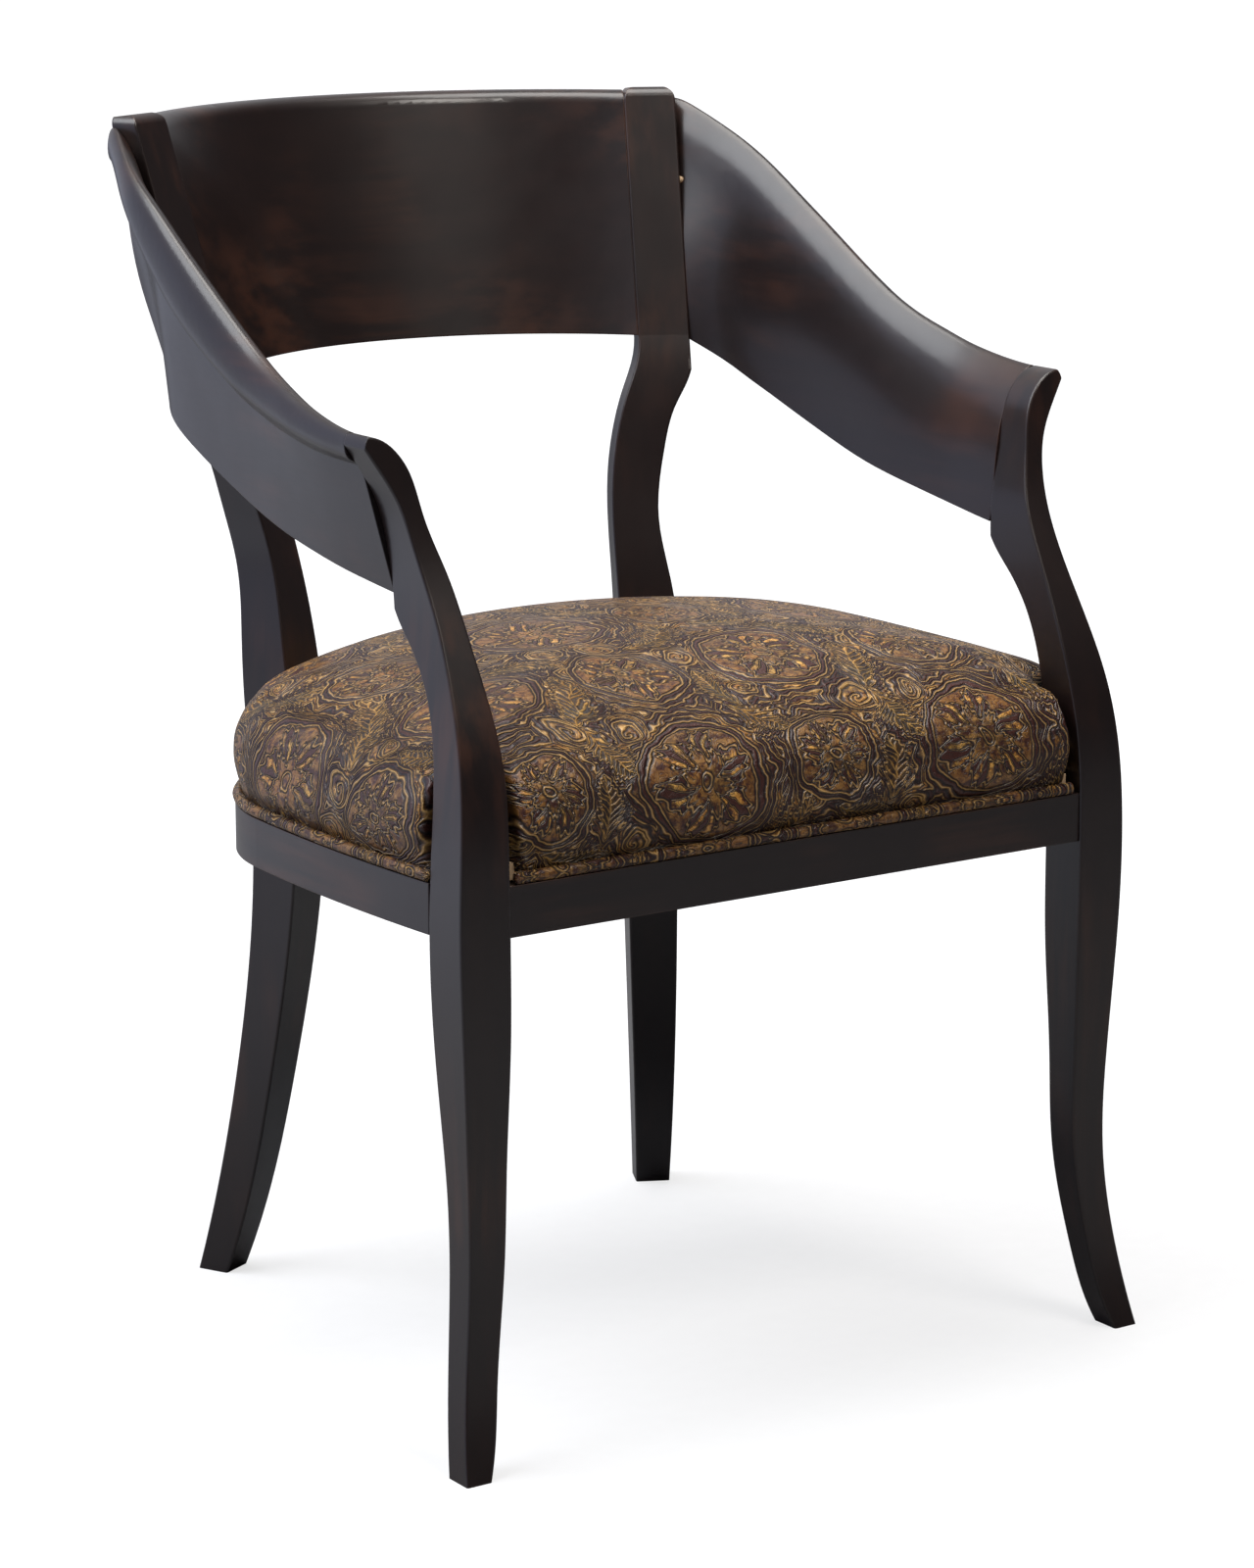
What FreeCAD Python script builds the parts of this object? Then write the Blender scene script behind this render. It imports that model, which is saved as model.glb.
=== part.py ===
import FreeCAD, Part
import math
import os
import Sketcher
from FreeCAD import Placement, Rotation, Vector

# Klismos armchair in dark stained hardwood with an upholstered seat.
# Millimetres, +Z up, the sitter faces -Y, X = 0 is the plane of symmetry.
# The origin is on the floor, below the middle of the chair's bounding box.

SIZES = {
    # heights above the floor
    "rail_bottom": (367.0, "underside of the seat rails"),
    "rail_height": (35.0, "height of the seat rails"),
    "arm_underside": (583.0, "underside of the arm where it meets the front post"),
    "arm_rise": (109.0, "top of the front post above the arm's underside"),
    "panel_bottom": (685.0, "lower edge of the back panel"),
    "post_top": (870.5, "top of the back posts"),
    "panel_drop": (2.5, "upper edge of the back panel below the posts' tops"),
    # front leg and arm post
    "leg_gap": (483.0, "clear distance between the front legs at the rail"),
    "leg_width": (39.5, "front leg across the chair"),
    "leg_depth": (39.5, "front leg front to back"),
    "leg_front": (303.1, "front face of the front leg, forward of the origin"),
    "foot_flare": (9.0, "front foot beyond the leg's outer face"),
    "foot_width": (20.0, "front foot across the chair"),
    "foot_kick": (17.0, "front foot forward of the leg's front face"),
    "foot_depth": (24.0, "front foot front to back"),
    "ankle_hollow": (8.0, "hollow of the front leg's outer face at the ankle"),
    "ankle_width": (28.0, "front leg across the chair at the ankle"),
    "ankle_depth": (28.0, "front leg front to back at the ankle"),
    "waist_hollow": (18.0, "hollow of the post's outer face under the arm"),
    "waist_width": (22.0, "arm post across the chair under the arm"),
    "post_sweep": (94.0, "arm post sweeps back from the rail to its top"),
    "nose_reach": (12.0, "scrolled post top beyond the leg's outer face"),
    "post_joint_depth": (27.0, "arm post front to back at its top"),
    # back leg and back post
    "post_x": (150.4, "middle of the back leg's front face, across"),
    "post_y": (108.5, "middle of the back leg's front face, back from the origin"),
    "post_splay": (26.6, "degrees that the back legs turn outward"),
    "rear_depth": (40.0, "back leg front to back at the rail"),
    "rear_foot_kick": (67.5, "back foot behind the leg's front face"),
    "rear_foot_depth": (26.0, "back foot front to back"),
    "rear_inner": (19.5, "back leg's inner face from its middle at the rail"),
    "rear_outer": (24.0, "back leg's outer face from its middle at the rail"),
    "rear_waist_inner": (25.0, "inner face from the middle at the waist"),
    "rear_waist_outer": (11.3, "outer face from the middle at the waist"),
    "shoulder_outer": (40.5, "outer face from the middle above the shoulder"),
    "post_set_low": (4.6, "post's front face back from the leg's, a fifth of the way up"),
    "post_set_middle": (17.5, "post's front face back from the leg's, half way up"),
    "post_set_high": (33.3, "post's front face back from the leg's, two thirds up"),
    "post_set_top": (46.6, "post's front face back from the leg's, under the panel"),
    "post_lean": (0.327, "slope of the back post's front face"),
    "post_top_depth": (21.0, "back post front to back at its top"),
    # back panel, a sheet bent round a vertical axis
    "panel_axis": (16.4, "axis of the panel's curve, back from the origin"),
    "panel_radius": (231.5, "inner radius at the panel's lower edge"),
    "panel_lean": (16.7, "degrees that the panel leans back"),
    "panel_thickness": (18.0, "thickness of the back panel"),
    "panel_span": (104.0, "degrees of the bent blank before its ends are cut"),
    # arms
    "arm_thickness": (20.0, "thickness of the arm boards"),
    # seat rails in plan
    "seat_front": (301.1, "front rail's face, forward of the origin"),
    "seat_back": (146.9, "back rail's outer face, back from the origin"),
    "back_radius": (360.0, "radius of the back rail's outer face"),
    "corner_radius": (143.0, "radius of the rear corners"),
    "side_radius": (1615.0, "radius of the side rail's slight bow"),
    "back_angle": (40.0, "degrees of the back rail's curve each side of the middle"),
    "side_angle": (3.7, "degrees that the side rail turns before the corner"),
    "rail_thickness": (24.0, "thickness of the seat rails"),
    # joinery
    "dowel_diameter": (8.0, "dowels in the seat frame and the arm fronts"),
    "dowel_length": (40.0, "length of the seat frame dowels"),
    "dowel_spacing": (17.0, "height between a pair of rail dowels"),
    "arm_dowel_length": (30.0, "length of the arm front dowels"),
    "thin_dowel_diameter": (6.0, "dowels of the back panel and the arm backs"),
    "thin_dowel_length": (26.0, "length of the back panel and arm back dowels"),
    "drill_clearance": (0.1, "radial clearance of a dowel or screw in its hole"),
    "block_height": (28.0, "height of the corner blocks"),
    "block_arm": (62.0, "front corner block along each rail"),
    "rear_block_width": (96.0, "rear corner block along the rails"),
    "rear_block_depth": (34.0, "rear corner block towards the middle"),
    "screw_shank": (4.0, "diameter of the wood screws"),
    "screw_head": (8.0, "diameter of the screw heads"),
    "screw_length": (38.0, "length of the wood screws"),
    "leg_screw_length": (52.0, "length of the screws into the back legs"),
    # seat
    "board_thickness": (12.0, "plywood seat board"),
    "cover_thickness": (1.5, "leather cover"),
    "padding_thickness": (6.0, "fibre padding between the foam and the leather"),
    "foam_height": (42.0, "foam block over the board"),
    "welt_diameter": (8.6, "piping round the seat"),
    "welt_inset": (2.4, "middle of the piping inside the rail's outer face"),
    "side_bulge": (8.5, "cushion beyond the rail's outer face"),
    "shoulder_height": (76.0, "cushion's shoulder above the rails"),
    "crown_height": (117.0, "crown of the cushion above the rails"),
    "crown_y": (-77.0, "highest point of the crown, back from the origin"),
    "hem_width": (30.0, "cover turned under the board"),
    "dust_cloth": (0.6, "thickness of the black cloth under the seat"),
    "fit": (0.3, "gap between neighbouring soft pieces"),
    "leg_relief": (1.0, "gap between the cushion and the legs"),
    "edge_round": (1.6, "eased edges of the show wood"),
}

doc = FreeCAD.newDocument("klismos_armchair")
sheet = doc.addObject("Spreadsheet::Sheet", "sizes")
for row, (alias, (number, meaning)) in enumerate(SIZES.items(), start=1):
    sheet.set("A%d" % row, meaning)
    sheet.set("B%d" % row, str(number))
    sheet.setAlias("B%d" % row, alias)
doc.recompute()

nodes = []


def size(alias):
    return float(sheet.get(alias))


def bind(thing, prop, expression):
    thing.setExpression(prop, expression)


def node(thing, name):
    thing.Label = name
    nodes.append(thing)
    return thing


# Outlines


def smooth(points):
    """One smooth curve through (across, up) points."""
    curve = Part.BSplineCurve()
    curve.interpolate([Vector(a, b, 0) for a, b in points])
    return curve


def line(start, end):
    return Part.LineSegment(Vector(start[0], start[1], 0), Vector(end[0], end[1], 0))


def arc(start, middle, end):
    return Part.Arc(*[Vector(p[0], p[1], 0) for p in (start, middle, end)])


def polygon(points):
    return [line(a, b) for a, b in zip(points, points[1:] + points[:1])]


def polar(centre, radius, degrees):
    """Point at an angle from +Y towards +X."""
    turn = math.radians(degrees)
    return (centre[0] + radius * math.sin(turn), centre[1] + radius * math.cos(turn))


def swept_arc(centre, radius, start, end):
    return arc(*[polar(centre, radius, a) for a in (start, 0.5 * (start + end), end)])


def body_with_sketch(name, role, edges, offset=Placement()):
    """A body whose one sketch lies on an origin plane, moved by offset."""
    body = doc.addObject("PartDesign::Body", name)
    return body, add_sketch(body, name + "_outline", role, edges, offset)


def add_sketch(body, name, role, edges, offset=Placement()):
    sketch = body.newObject("Sketcher::SketchObject", name)
    plane = [f for f in body.Origin.OriginFeatures if f.Role == role][0]
    sketch.AttachmentSupport = [(plane, "")]
    sketch.MapMode = "FlatFace"
    sketch.AttachmentOffset = offset
    for edge in edges:
        sketch.addGeometry(edge, False)
    return sketch


def padded(name, role, edges, length, midplane=False, offset=Placement()):
    """A body padded from one outline; length is an expression."""
    body, sketch = body_with_sketch(name, role, edges, offset)
    pad = body.newObject("PartDesign::Pad", name + "_pad")
    pad.Profile = sketch
    bind(pad, "Length", length)
    pad.Midplane = midplane
    sketch.Visibility = False
    return body


def slab(name, edges, bottom, height):
    """A plan outline padded upward from a height; both are expressions."""
    body = padded(name, "XY_Plane", edges, height)
    body.Placement.Base.z = 0
    bind(body, "Placement.Base.z", bottom)
    return body


def cut(name, base, tool):
    thing = doc.addObject("Part::Cut", name)
    thing.Base = base
    thing.Tool = tool
    return thing


def common(name, base, tool):
    thing = doc.addObject("Part::Common", name)
    thing.Base = base
    thing.Tool = tool
    return thing


def group(name, things):
    thing = doc.addObject("Part::Compound", name)
    thing.Links = things
    return thing


def fused(name, things):
    thing = doc.addObject("Part::MultiFuse", name)
    thing.Shapes = things
    return thing


def mirrored(name, source):
    thing = doc.addObject("Part::Mirroring", name)
    thing.Source = source
    thing.Base = Vector(0, 0, 0)
    thing.Normal = Vector(1, 0, 0)
    return thing


def both_sides(name, source):
    """The right-hand piece and its mirror image, as two nodes."""
    node(source, name + "_right")
    node(mirrored(name + "_mirror", source), name + "_left")


def eased(name, base, shortest):
    """Long edges eased by the same small round."""
    doc.recompute()
    thing = doc.addObject("Part::Fillet", name)
    thing.Base = base
    radius = size("edge_round")
    chosen = []
    for index, edge in enumerate(base.Shape.Edges, start=1):
        if edge.Length > shortest:
            chosen.append((index, radius, radius))
    thing.Edges = chosen
    return thing


def rod(name, centre, direction, diameter, length):
    """A cylinder about its middle point; diameter and length are expressions."""
    doc.recompute()
    thing = doc.addObject("Part::Cylinder", name)
    bind(thing, "Radius", "(%s) / 2" % diameter)
    bind(thing, "Height", length)
    doc.recompute()
    direction = Vector(direction).normalize()
    start = Vector(centre) - direction * (thing.Height.Value / 2)
    thing.Placement = Placement(start, Rotation(Vector(0, 0, 1), direction))
    return thing


def dowel_and_hole(name, centre, direction, kind, length):
    """A dowel, and the slightly larger and longer rod that drills its hole."""
    dowel = rod(name, centre, direction, "sizes.%s" % kind, "sizes.%s" % length)
    hole = rod(
        name + "_hole",
        centre,
        direction,
        "sizes.%s + 2 * sizes.drill_clearance" % kind,
        "sizes.%s + 2" % length,
    )
    return dowel, hole


def screw_and_hole(name, head, direction, length, counterbore):
    """A countersunk wood screw from its head's face, and its counterbored hole."""
    radius = size("screw_shank") / 2
    head_radius = size("screw_head") / 2
    clearance = size("drill_clearance")
    long = size(length)
    made = []
    for suffix, extra, back in (("", 0.0, 0.0), ("_hole", clearance, counterbore)):
        profile = [
            (0, -back),
            (head_radius + extra, -back),
            (head_radius + extra, 1.0),
            (radius + extra, 1.0 + head_radius - radius),
            (radius + extra, long - 2 * radius),
            (0, long + extra),
        ]
        body, sketch = body_with_sketch(name + suffix, "XZ_Plane", polygon(profile))
        turn = body.newObject("PartDesign::Revolution", name + suffix + "_turn")
        turn.Profile = sketch
        turn.ReferenceAxis = (sketch, ["V_Axis"])
        turn.Angle = 360
        sketch.Visibility = False
        body.Placement = Placement(Vector(head), Rotation(Vector(0, 0, 1), direction))
        made.append(body)
    return made


# Places shared by several pieces

RAIL_TOP = size("rail_bottom") + size("rail_height")
RAIL_MIDDLE = size("rail_bottom") + size("rail_height") / 2
LEG_INNER = size("leg_gap") / 2
LEG_OUTER = LEG_INNER + size("leg_width")
LEG_FACE = -size("leg_front")
LEG_BACK = LEG_FACE + size("leg_depth")
ARM_TOP = size("arm_underside") + size("arm_rise")
PANEL_TOP = size("post_top") - size("panel_drop")
TEMPLATE_RUN = 900.0
TEMPLATE_LENGTH = "%g mm" % TEMPLATE_RUN

# The arm post's back face, where the arm is glued on, is one leaning plane.
JOINT_TOP = LEG_FACE + size("post_sweep") + size("post_joint_depth")
JOINT_LEAN = 0.11
SHOULDER_DROP = 10.0


def joint_y(height):
    return JOINT_TOP - JOINT_LEAN * (ARM_TOP - height)


def below_rail(share):
    return share * size("rail_bottom")


def above_rail(share):
    return RAIL_TOP + share * (size("arm_underside") - RAIL_TOP)


def beside_arm(share):
    return size("arm_underside") + share * (ARM_TOP - size("arm_underside"))


# Front legs, each one piece from the foot to the scrolled top of the arm post


def front_leg_across():
    """Outline seen from the front."""
    flare = size("foot_flare")
    hollow = size("ankle_hollow")
    waist = size("waist_hollow")
    nose = size("nose_reach")
    foot_inner = LEG_OUTER + flare - size("foot_width")
    ankle_inner = LEG_OUTER - hollow - size("ankle_width")
    waist_inner = LEG_OUTER - waist - size("waist_width")
    outer = [
        (LEG_OUTER + flare, 0),
        (LEG_OUTER + 0.05 * flare, below_rail(0.16)),
        (LEG_OUTER - 0.95 * hollow, below_rail(0.36)),
        (LEG_OUTER - 0.85 * hollow, below_rail(0.56)),
        (LEG_OUTER - 0.25 * hollow, below_rail(0.80)),
        (LEG_OUTER, RAIL_MIDDLE),
        (LEG_OUTER - 0.3 * waist, above_rail(0.32)),
        (LEG_OUTER - 0.78 * waist, above_rail(0.70)),
        (LEG_OUTER - waist, above_rail(0.98)),
        (LEG_OUTER - 0.82 * waist, beside_arm(0.34)),
        (LEG_OUTER - 0.45 * waist, beside_arm(0.60)),
        (LEG_OUTER + 0.35 * nose, beside_arm(0.81)),
        (LEG_OUTER + nose, beside_arm(0.925)),
    ]
    tip = (LEG_OUTER + 0.88 * nose, beside_arm(0.975))
    crest = (LEG_OUTER + 0.72 * nose, ARM_TOP)
    inner = [
        crest,
        (LEG_OUTER - 5.0, beside_arm(0.955)),
        (LEG_OUTER - 13.0, beside_arm(0.885)),
        (LEG_OUTER - 19.5, beside_arm(0.79)),
        (LEG_OUTER - 27.5, beside_arm(0.50)),
        (waist_inner + 3.2, beside_arm(0.16)),
        (waist_inner, above_rail(0.86)),
        (waist_inner - 2.2, above_rail(0.50)),
        (LEG_INNER, RAIL_TOP + 6.0),
        (LEG_INNER, RAIL_MIDDLE),
        (LEG_INNER, size("rail_bottom") - 6.0),
        (LEG_INNER, below_rail(0.80)),
        (0.5 * (LEG_INNER + ankle_inner), below_rail(0.58)),
        (ankle_inner, below_rail(0.38)),
        (0.45 * ankle_inner + 0.55 * foot_inner - 3.0, below_rail(0.16)),
        (foot_inner - 7.0, below_rail(0.055)),
        (foot_inner, 0),
    ]
    return [
        smooth(outer),
        arc(outer[-1], tip, crest),
        smooth(inner),
        line(inner[-1], outer[0]),
    ]


def post_back_face():
    """Back face of the swept arm post, from the arm down to the rail."""
    end = joint_y(size("arm_underside"))
    run = end - LEG_BACK
    return [
        (end, size("arm_underside") - SHOULDER_DROP),
        (LEG_BACK + 0.94 * run, above_rail(0.915)),
        (LEG_BACK + 0.66 * run, above_rail(0.815)),
        (LEG_BACK + 0.36 * run, above_rail(0.685)),
        (LEG_BACK + 0.13 * run, above_rail(0.50)),
        (LEG_BACK + 0.02 * run, above_rail(0.24)),
    ]


def front_leg_along():
    """Outline seen from the side."""
    kick = size("foot_kick")
    sweep = size("post_sweep")
    foot_back = LEG_FACE - kick + size("foot_depth")
    ankle_front = LEG_FACE + 4.5
    ankle_back = ankle_front + size("ankle_depth")
    front = [
        (LEG_FACE - kick, 0),
        (LEG_FACE - 0.15 * kick, below_rail(0.16)),
        (ankle_front, below_rail(0.38)),
        (LEG_FACE + 3.5, below_rail(0.56)),
        (LEG_FACE, below_rail(0.82)),
        (LEG_FACE, RAIL_MIDDLE),
        (LEG_FACE + 0.035 * sweep, above_rail(0.22)),
        (LEG_FACE + 0.13 * sweep, above_rail(0.45)),
        (LEG_FACE + 0.31 * sweep, above_rail(0.67)),
        (LEG_FACE + 0.62 * sweep, above_rail(0.97)),
        (LEG_FACE + 0.83 * sweep, beside_arm(0.33)),
        (LEG_FACE + 0.93 * sweep, beside_arm(0.66)),
        (LEG_FACE + sweep, ARM_TOP),
    ]
    back = [
        *post_back_face(),
        (LEG_BACK, RAIL_TOP + 6.0),
        (LEG_BACK, RAIL_MIDDLE),
        (LEG_BACK, size("rail_bottom") - 6.0),
        (LEG_BACK - 1.0, below_rail(0.78)),
        (ankle_back + 0.5, below_rail(0.52)),
        (ankle_back - 2.0, below_rail(0.34)),
        (foot_back + 0.72 * (ankle_back - foot_back) - 4.0, below_rail(0.16)),
        (foot_back, 0),
    ]
    top_back = (joint_y(ARM_TOP), ARM_TOP)
    return [
        smooth(front),
        line(front[-1], top_back),
        line(top_back, back[0]),
        smooth(back),
        line(back[-1], front[0]),
    ]


leg_across = padded(
    "front_leg_across", "XZ_Plane", front_leg_across(), TEMPLATE_LENGTH, True
)
leg_along = padded("front_leg_along", "YZ_Plane", front_leg_along(), TEMPLATE_LENGTH, True)
front_leg_sawn = common("front_leg_sawn", leg_across, leg_along)
front_leg_shape = eased("front_leg_eased", front_leg_sawn, 60.0)

# Back legs, each one piece from the foot to the top of the back post.
# Outlines are drawn in the leg's own frame: across from its middle, back from its face.

POST_PLACE = Placement(
    Vector(size("post_x"), size("post_y"), 0),
    Rotation(Vector(0, 0, 1), -size("post_splay")),
)
LATERAL = POST_PLACE.Rotation.multVec(Vector(1, 0, 0))
BACKWARD = POST_PLACE.Rotation.multVec(Vector(0, 1, 0))
SHOULDER_HEIGHT = size("panel_bottom") - 26.0
TOP_ROUND = 9.0
SIDE_TAPER = math.radians(1.04)


def to_panel(share):
    """Height between the rails and the shoulder of the back post."""
    return RAIL_TOP + share * (SHOULDER_HEIGHT - RAIL_TOP)


def lean_face(height):
    """The post's straight upper front face, back from the face at the rail."""
    above = height - (size("panel_bottom") - 45.0)
    return size("post_set_top") + size("post_lean") * above


def side_face(height):
    """The post's straight upper outer face, across from its middle."""
    drop = math.tan(SIDE_TAPER) * (height - SHOULDER_HEIGHT)
    return size("shoulder_outer") - drop


def inner_face(height):
    """The post's straight upper inner face, across from its middle."""
    drop = math.tan(SIDE_TAPER) * (height - size("panel_bottom"))
    return -drop


def rear_leg_across():
    inner = size("rear_inner")
    outer = size("rear_outer")
    waist_in = size("rear_waist_inner")
    waist_out = size("rear_waist_outer")
    top = size("post_top")
    right = [
        (outer + 2.0, 0),
        (outer + 1.3, below_rail(0.45)),
        (outer, RAIL_MIDDLE),
        (outer - 0.5, to_panel(0.26)),
        (0.6 * outer + 0.4 * waist_out, to_panel(0.39)),
        (waist_out, to_panel(0.57)),
        (waist_out + 6.2, to_panel(0.77)),
        (waist_out + 15.2, to_panel(0.89)),
        (side_face(SHOULDER_HEIGHT) - 3.5, to_panel(0.965)),
        (side_face(SHOULDER_HEIGHT), SHOULDER_HEIGHT),
    ]
    round_start = (side_face(top - TOP_ROUND), top - TOP_ROUND)
    round_end = (side_face(top) - TOP_ROUND, top)
    round_mid = (side_face(top) - 0.29 * TOP_ROUND, top - 0.29 * TOP_ROUND)
    in_start = (inner_face(top) + TOP_ROUND, top)
    in_end = (inner_face(top - TOP_ROUND), top - TOP_ROUND)
    in_mid = (inner_face(top) + 0.29 * TOP_ROUND, top - 0.29 * TOP_ROUND)
    panel = (inner_face(size("panel_bottom")), size("panel_bottom"))
    left = [
        panel,
        (-2.5, to_panel(1.02)),
        (-11.0, to_panel(0.93)),
        (-19.0, to_panel(0.82)),
        (-waist_in + 1.3, to_panel(0.70)),
        (-waist_in, to_panel(0.57)),
        (-waist_in + 1.6, to_panel(0.40)),
        (-inner - 2.0, to_panel(0.22)),
        (-inner, RAIL_MIDDLE),
        (-inner + 9.0, below_rail(0.45)),
        (-inner + 18.5, 0),
    ]
    return [
        smooth(right),
        line(right[-1], round_start),
        arc(round_start, round_mid, round_end),
        line(round_end, in_start),
        arc(in_start, in_mid, in_end),
        line(in_end, panel),
        smooth(left),
        line(left[-1], right[0]),
    ]


def rear_leg_along():
    kick = size("rear_foot_kick")
    depth = size("rear_depth")
    foot = size("rear_foot_depth")
    top = size("post_top")
    top_depth = size("post_top_depth")
    straight = size("panel_bottom")
    low = size("post_set_low")
    middle = size("post_set_middle")
    high = size("post_set_high")
    front = [
        (kick, 0),
        (0.66 * kick, below_rail(0.19)),
        (0.37 * kick, below_rail(0.435)),
        (0.11 * kick, below_rail(0.73)),
        (0, RAIL_MIDDLE),
        (low, to_panel(0.21)),
        (middle, to_panel(0.46)),
        (high, to_panel(0.69)),
        (lean_face(straight - 40.0), straight - 40.0),
        (lean_face(straight), straight),
    ]
    roll = TOP_ROUND * 2 / 3
    roll_start = (lean_face(top - roll), top - roll)
    roll_end = (lean_face(top) + roll, top)
    roll_mid = (lean_face(top) + 0.25 * roll, top - 0.33 * roll)
    back_top = (lean_face(top) + top_depth, top - 2.0)
    back_low = (lean_face(straight) + 30.0, straight)
    back = [
        back_low,
        (lean_face(straight - 50.0) + 29.5, straight - 50.0),
        (high + 0.795 * depth, to_panel(0.69)),
        (middle + 0.865 * depth, to_panel(0.46)),
        (low + depth, to_panel(0.21)),
        (depth, RAIL_MIDDLE),
        (0.11 * kick + 0.875 * depth, below_rail(0.73)),
        (0.37 * kick + 31.5, below_rail(0.435)),
        (0.66 * kick + 30.2, below_rail(0.19)),
        (kick + foot, 0),
    ]
    return [
        smooth(front),
        line(front[-1], roll_start),
        arc(roll_start, roll_mid, roll_end),
        line(roll_end, back_top),
        line(back_top, back_low),
        smooth(back),
        line(back[-1], front[0]),
    ]


rear_across = padded(
    "rear_leg_across", "XZ_Plane", rear_leg_across(), TEMPLATE_LENGTH, True
)
rear_along = padded("rear_leg_along", "YZ_Plane", rear_leg_along(), TEMPLATE_LENGTH, True)
rear_across.Placement = POST_PLACE
rear_along.Placement = POST_PLACE
rear_leg_sawn = common("rear_leg_sawn", rear_across, rear_along)
rear_leg_shape = eased("rear_leg_eased", rear_leg_sawn, 60.0)

# Seat plan: one closed outline of tangent arcs, drawn at any inset from the rails' face

SEAT_FRONT = -size("seat_front")
BACK_CENTRE = (0.0, size("seat_back") - size("back_radius"))
CORNER_CENTRE = polar(
    BACK_CENTRE, size("back_radius") - size("corner_radius"), size("back_angle")
)
SIDE_TURN = 90.0 - size("side_angle")
SIDE_CENTRE = polar(
    CORNER_CENTRE, size("corner_radius") - size("side_radius"), SIDE_TURN
)


def side_x(y, inset):
    """Across position of the side's curve at a given depth."""
    radius = size("side_radius") - inset
    return SIDE_CENTRE[0] + math.sqrt(radius**2 - (y - SIDE_CENTRE[1]) ** 2)


def side_angle_at(y, inset):
    radius = size("side_radius") - inset
    return 90.0 - math.degrees(math.asin((y - SIDE_CENTRE[1]) / radius))


def right_arcs(inset, start_y, end_angle):
    """Side, corner and back arcs of the right half, front to back."""
    side = swept_arc(
        SIDE_CENTRE,
        size("side_radius") - inset,
        side_angle_at(start_y, inset),
        SIDE_TURN,
    )
    corner = swept_arc(
        CORNER_CENTRE, size("corner_radius") - inset, SIDE_TURN, size("back_angle")
    )
    back = swept_arc(
        BACK_CENTRE, size("back_radius") - inset, size("back_angle"), end_angle
    )
    return [side, corner, back]


def flipped(edge):
    """Mirror image of a line or arc about the middle plane."""
    ends = [edge.StartPoint, edge.EndPoint]
    if isinstance(edge, Part.LineSegment):
        return line(*[(-p.x, p.y) for p in ends])
    middle = edge.value(0.5 * (edge.FirstParameter + edge.LastParameter))
    return arc(*[(-p.x, p.y) for p in (ends[0], middle, ends[1])])


def seat_plan(inset):
    """The whole outline at an inset from the rails' outer face."""
    start_y = SEAT_FRONT + inset
    right = right_arcs(inset, start_y, 0.0)
    corner_x = side_x(start_y, inset)
    front = line((-corner_x, start_y), (corner_x, start_y))
    return [front] + right + [flipped(edge) for edge in right]


def scaled_plan(inset, share, centre_y):
    """The outline shrunk towards a point on the middle plane."""
    edges = []
    for edge in seat_plan(inset):
        points = [edge.StartPoint, edge.EndPoint]
        if not isinstance(edge, Part.LineSegment):
            points.insert(1, edge.value(0.5 * (edge.FirstParameter + edge.LastParameter)))
        near = [(share * p.x, centre_y + share * (p.y - centre_y)) for p in points]
        edges.append(line(*near) if len(near) == 2 else arc(*near))
    return edges


# Seat rails

JOINT_ANGLE = math.degrees(
    math.atan2(size("post_x"), size("post_y") - BACK_CENTRE[1])
)


def point(vector):
    return (vector.x, vector.y)


def side_rail_plan():
    outer = right_arcs(0.0, LEG_BACK, JOINT_ANGLE)
    inner = right_arcs(size("rail_thickness"), LEG_BACK, JOINT_ANGLE)
    ends = [
        line(point(inner[0].StartPoint), point(outer[0].StartPoint)),
        line(point(outer[2].EndPoint), point(inner[2].EndPoint)),
    ]
    return outer + inner + ends


def back_rail_plan():
    outer = swept_arc(BACK_CENTRE, size("back_radius"), -JOINT_ANGLE, JOINT_ANGLE)
    inner_radius = size("back_radius") - size("rail_thickness")
    inner = swept_arc(BACK_CENTRE, inner_radius, -JOINT_ANGLE, JOINT_ANGLE)
    return [
        outer,
        inner,
        line(point(outer.StartPoint), point(inner.StartPoint)),
        line(point(outer.EndPoint), point(inner.EndPoint)),
    ]


RAIL_BACK_FACE = SEAT_FRONT + size("rail_thickness")
front_rail_plan = polygon(
    [
        (-LEG_INNER, SEAT_FRONT),
        (LEG_INNER, SEAT_FRONT),
        (LEG_INNER, RAIL_BACK_FACE),
        (-LEG_INNER, RAIL_BACK_FACE),
    ]
)
front_rail_shape = slab(
    "front_rail_blank", front_rail_plan, "sizes.rail_bottom", "sizes.rail_height"
)
side_rail_shape = slab(
    "side_rail_blank", side_rail_plan(), "sizes.rail_bottom", "sizes.rail_height"
)
back_rail_shape = slab(
    "back_rail_blank", back_rail_plan(), "sizes.rail_bottom", "sizes.rail_height"
)
rail_housing = slab(
    "rail_housing", seat_plan(0.0), "sizes.rail_bottom", "sizes.rail_height"
)

# Back panel

panel_low = (size("panel_radius"), size("panel_bottom"))
panel_rise = PANEL_TOP - size("panel_bottom")
panel_slope = math.tan(math.radians(size("panel_lean")))
panel_run = size("panel_thickness") / math.cos(math.radians(size("panel_lean")))


def panel_inner(height):
    return size("panel_radius") + panel_slope * (height - size("panel_bottom"))


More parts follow.
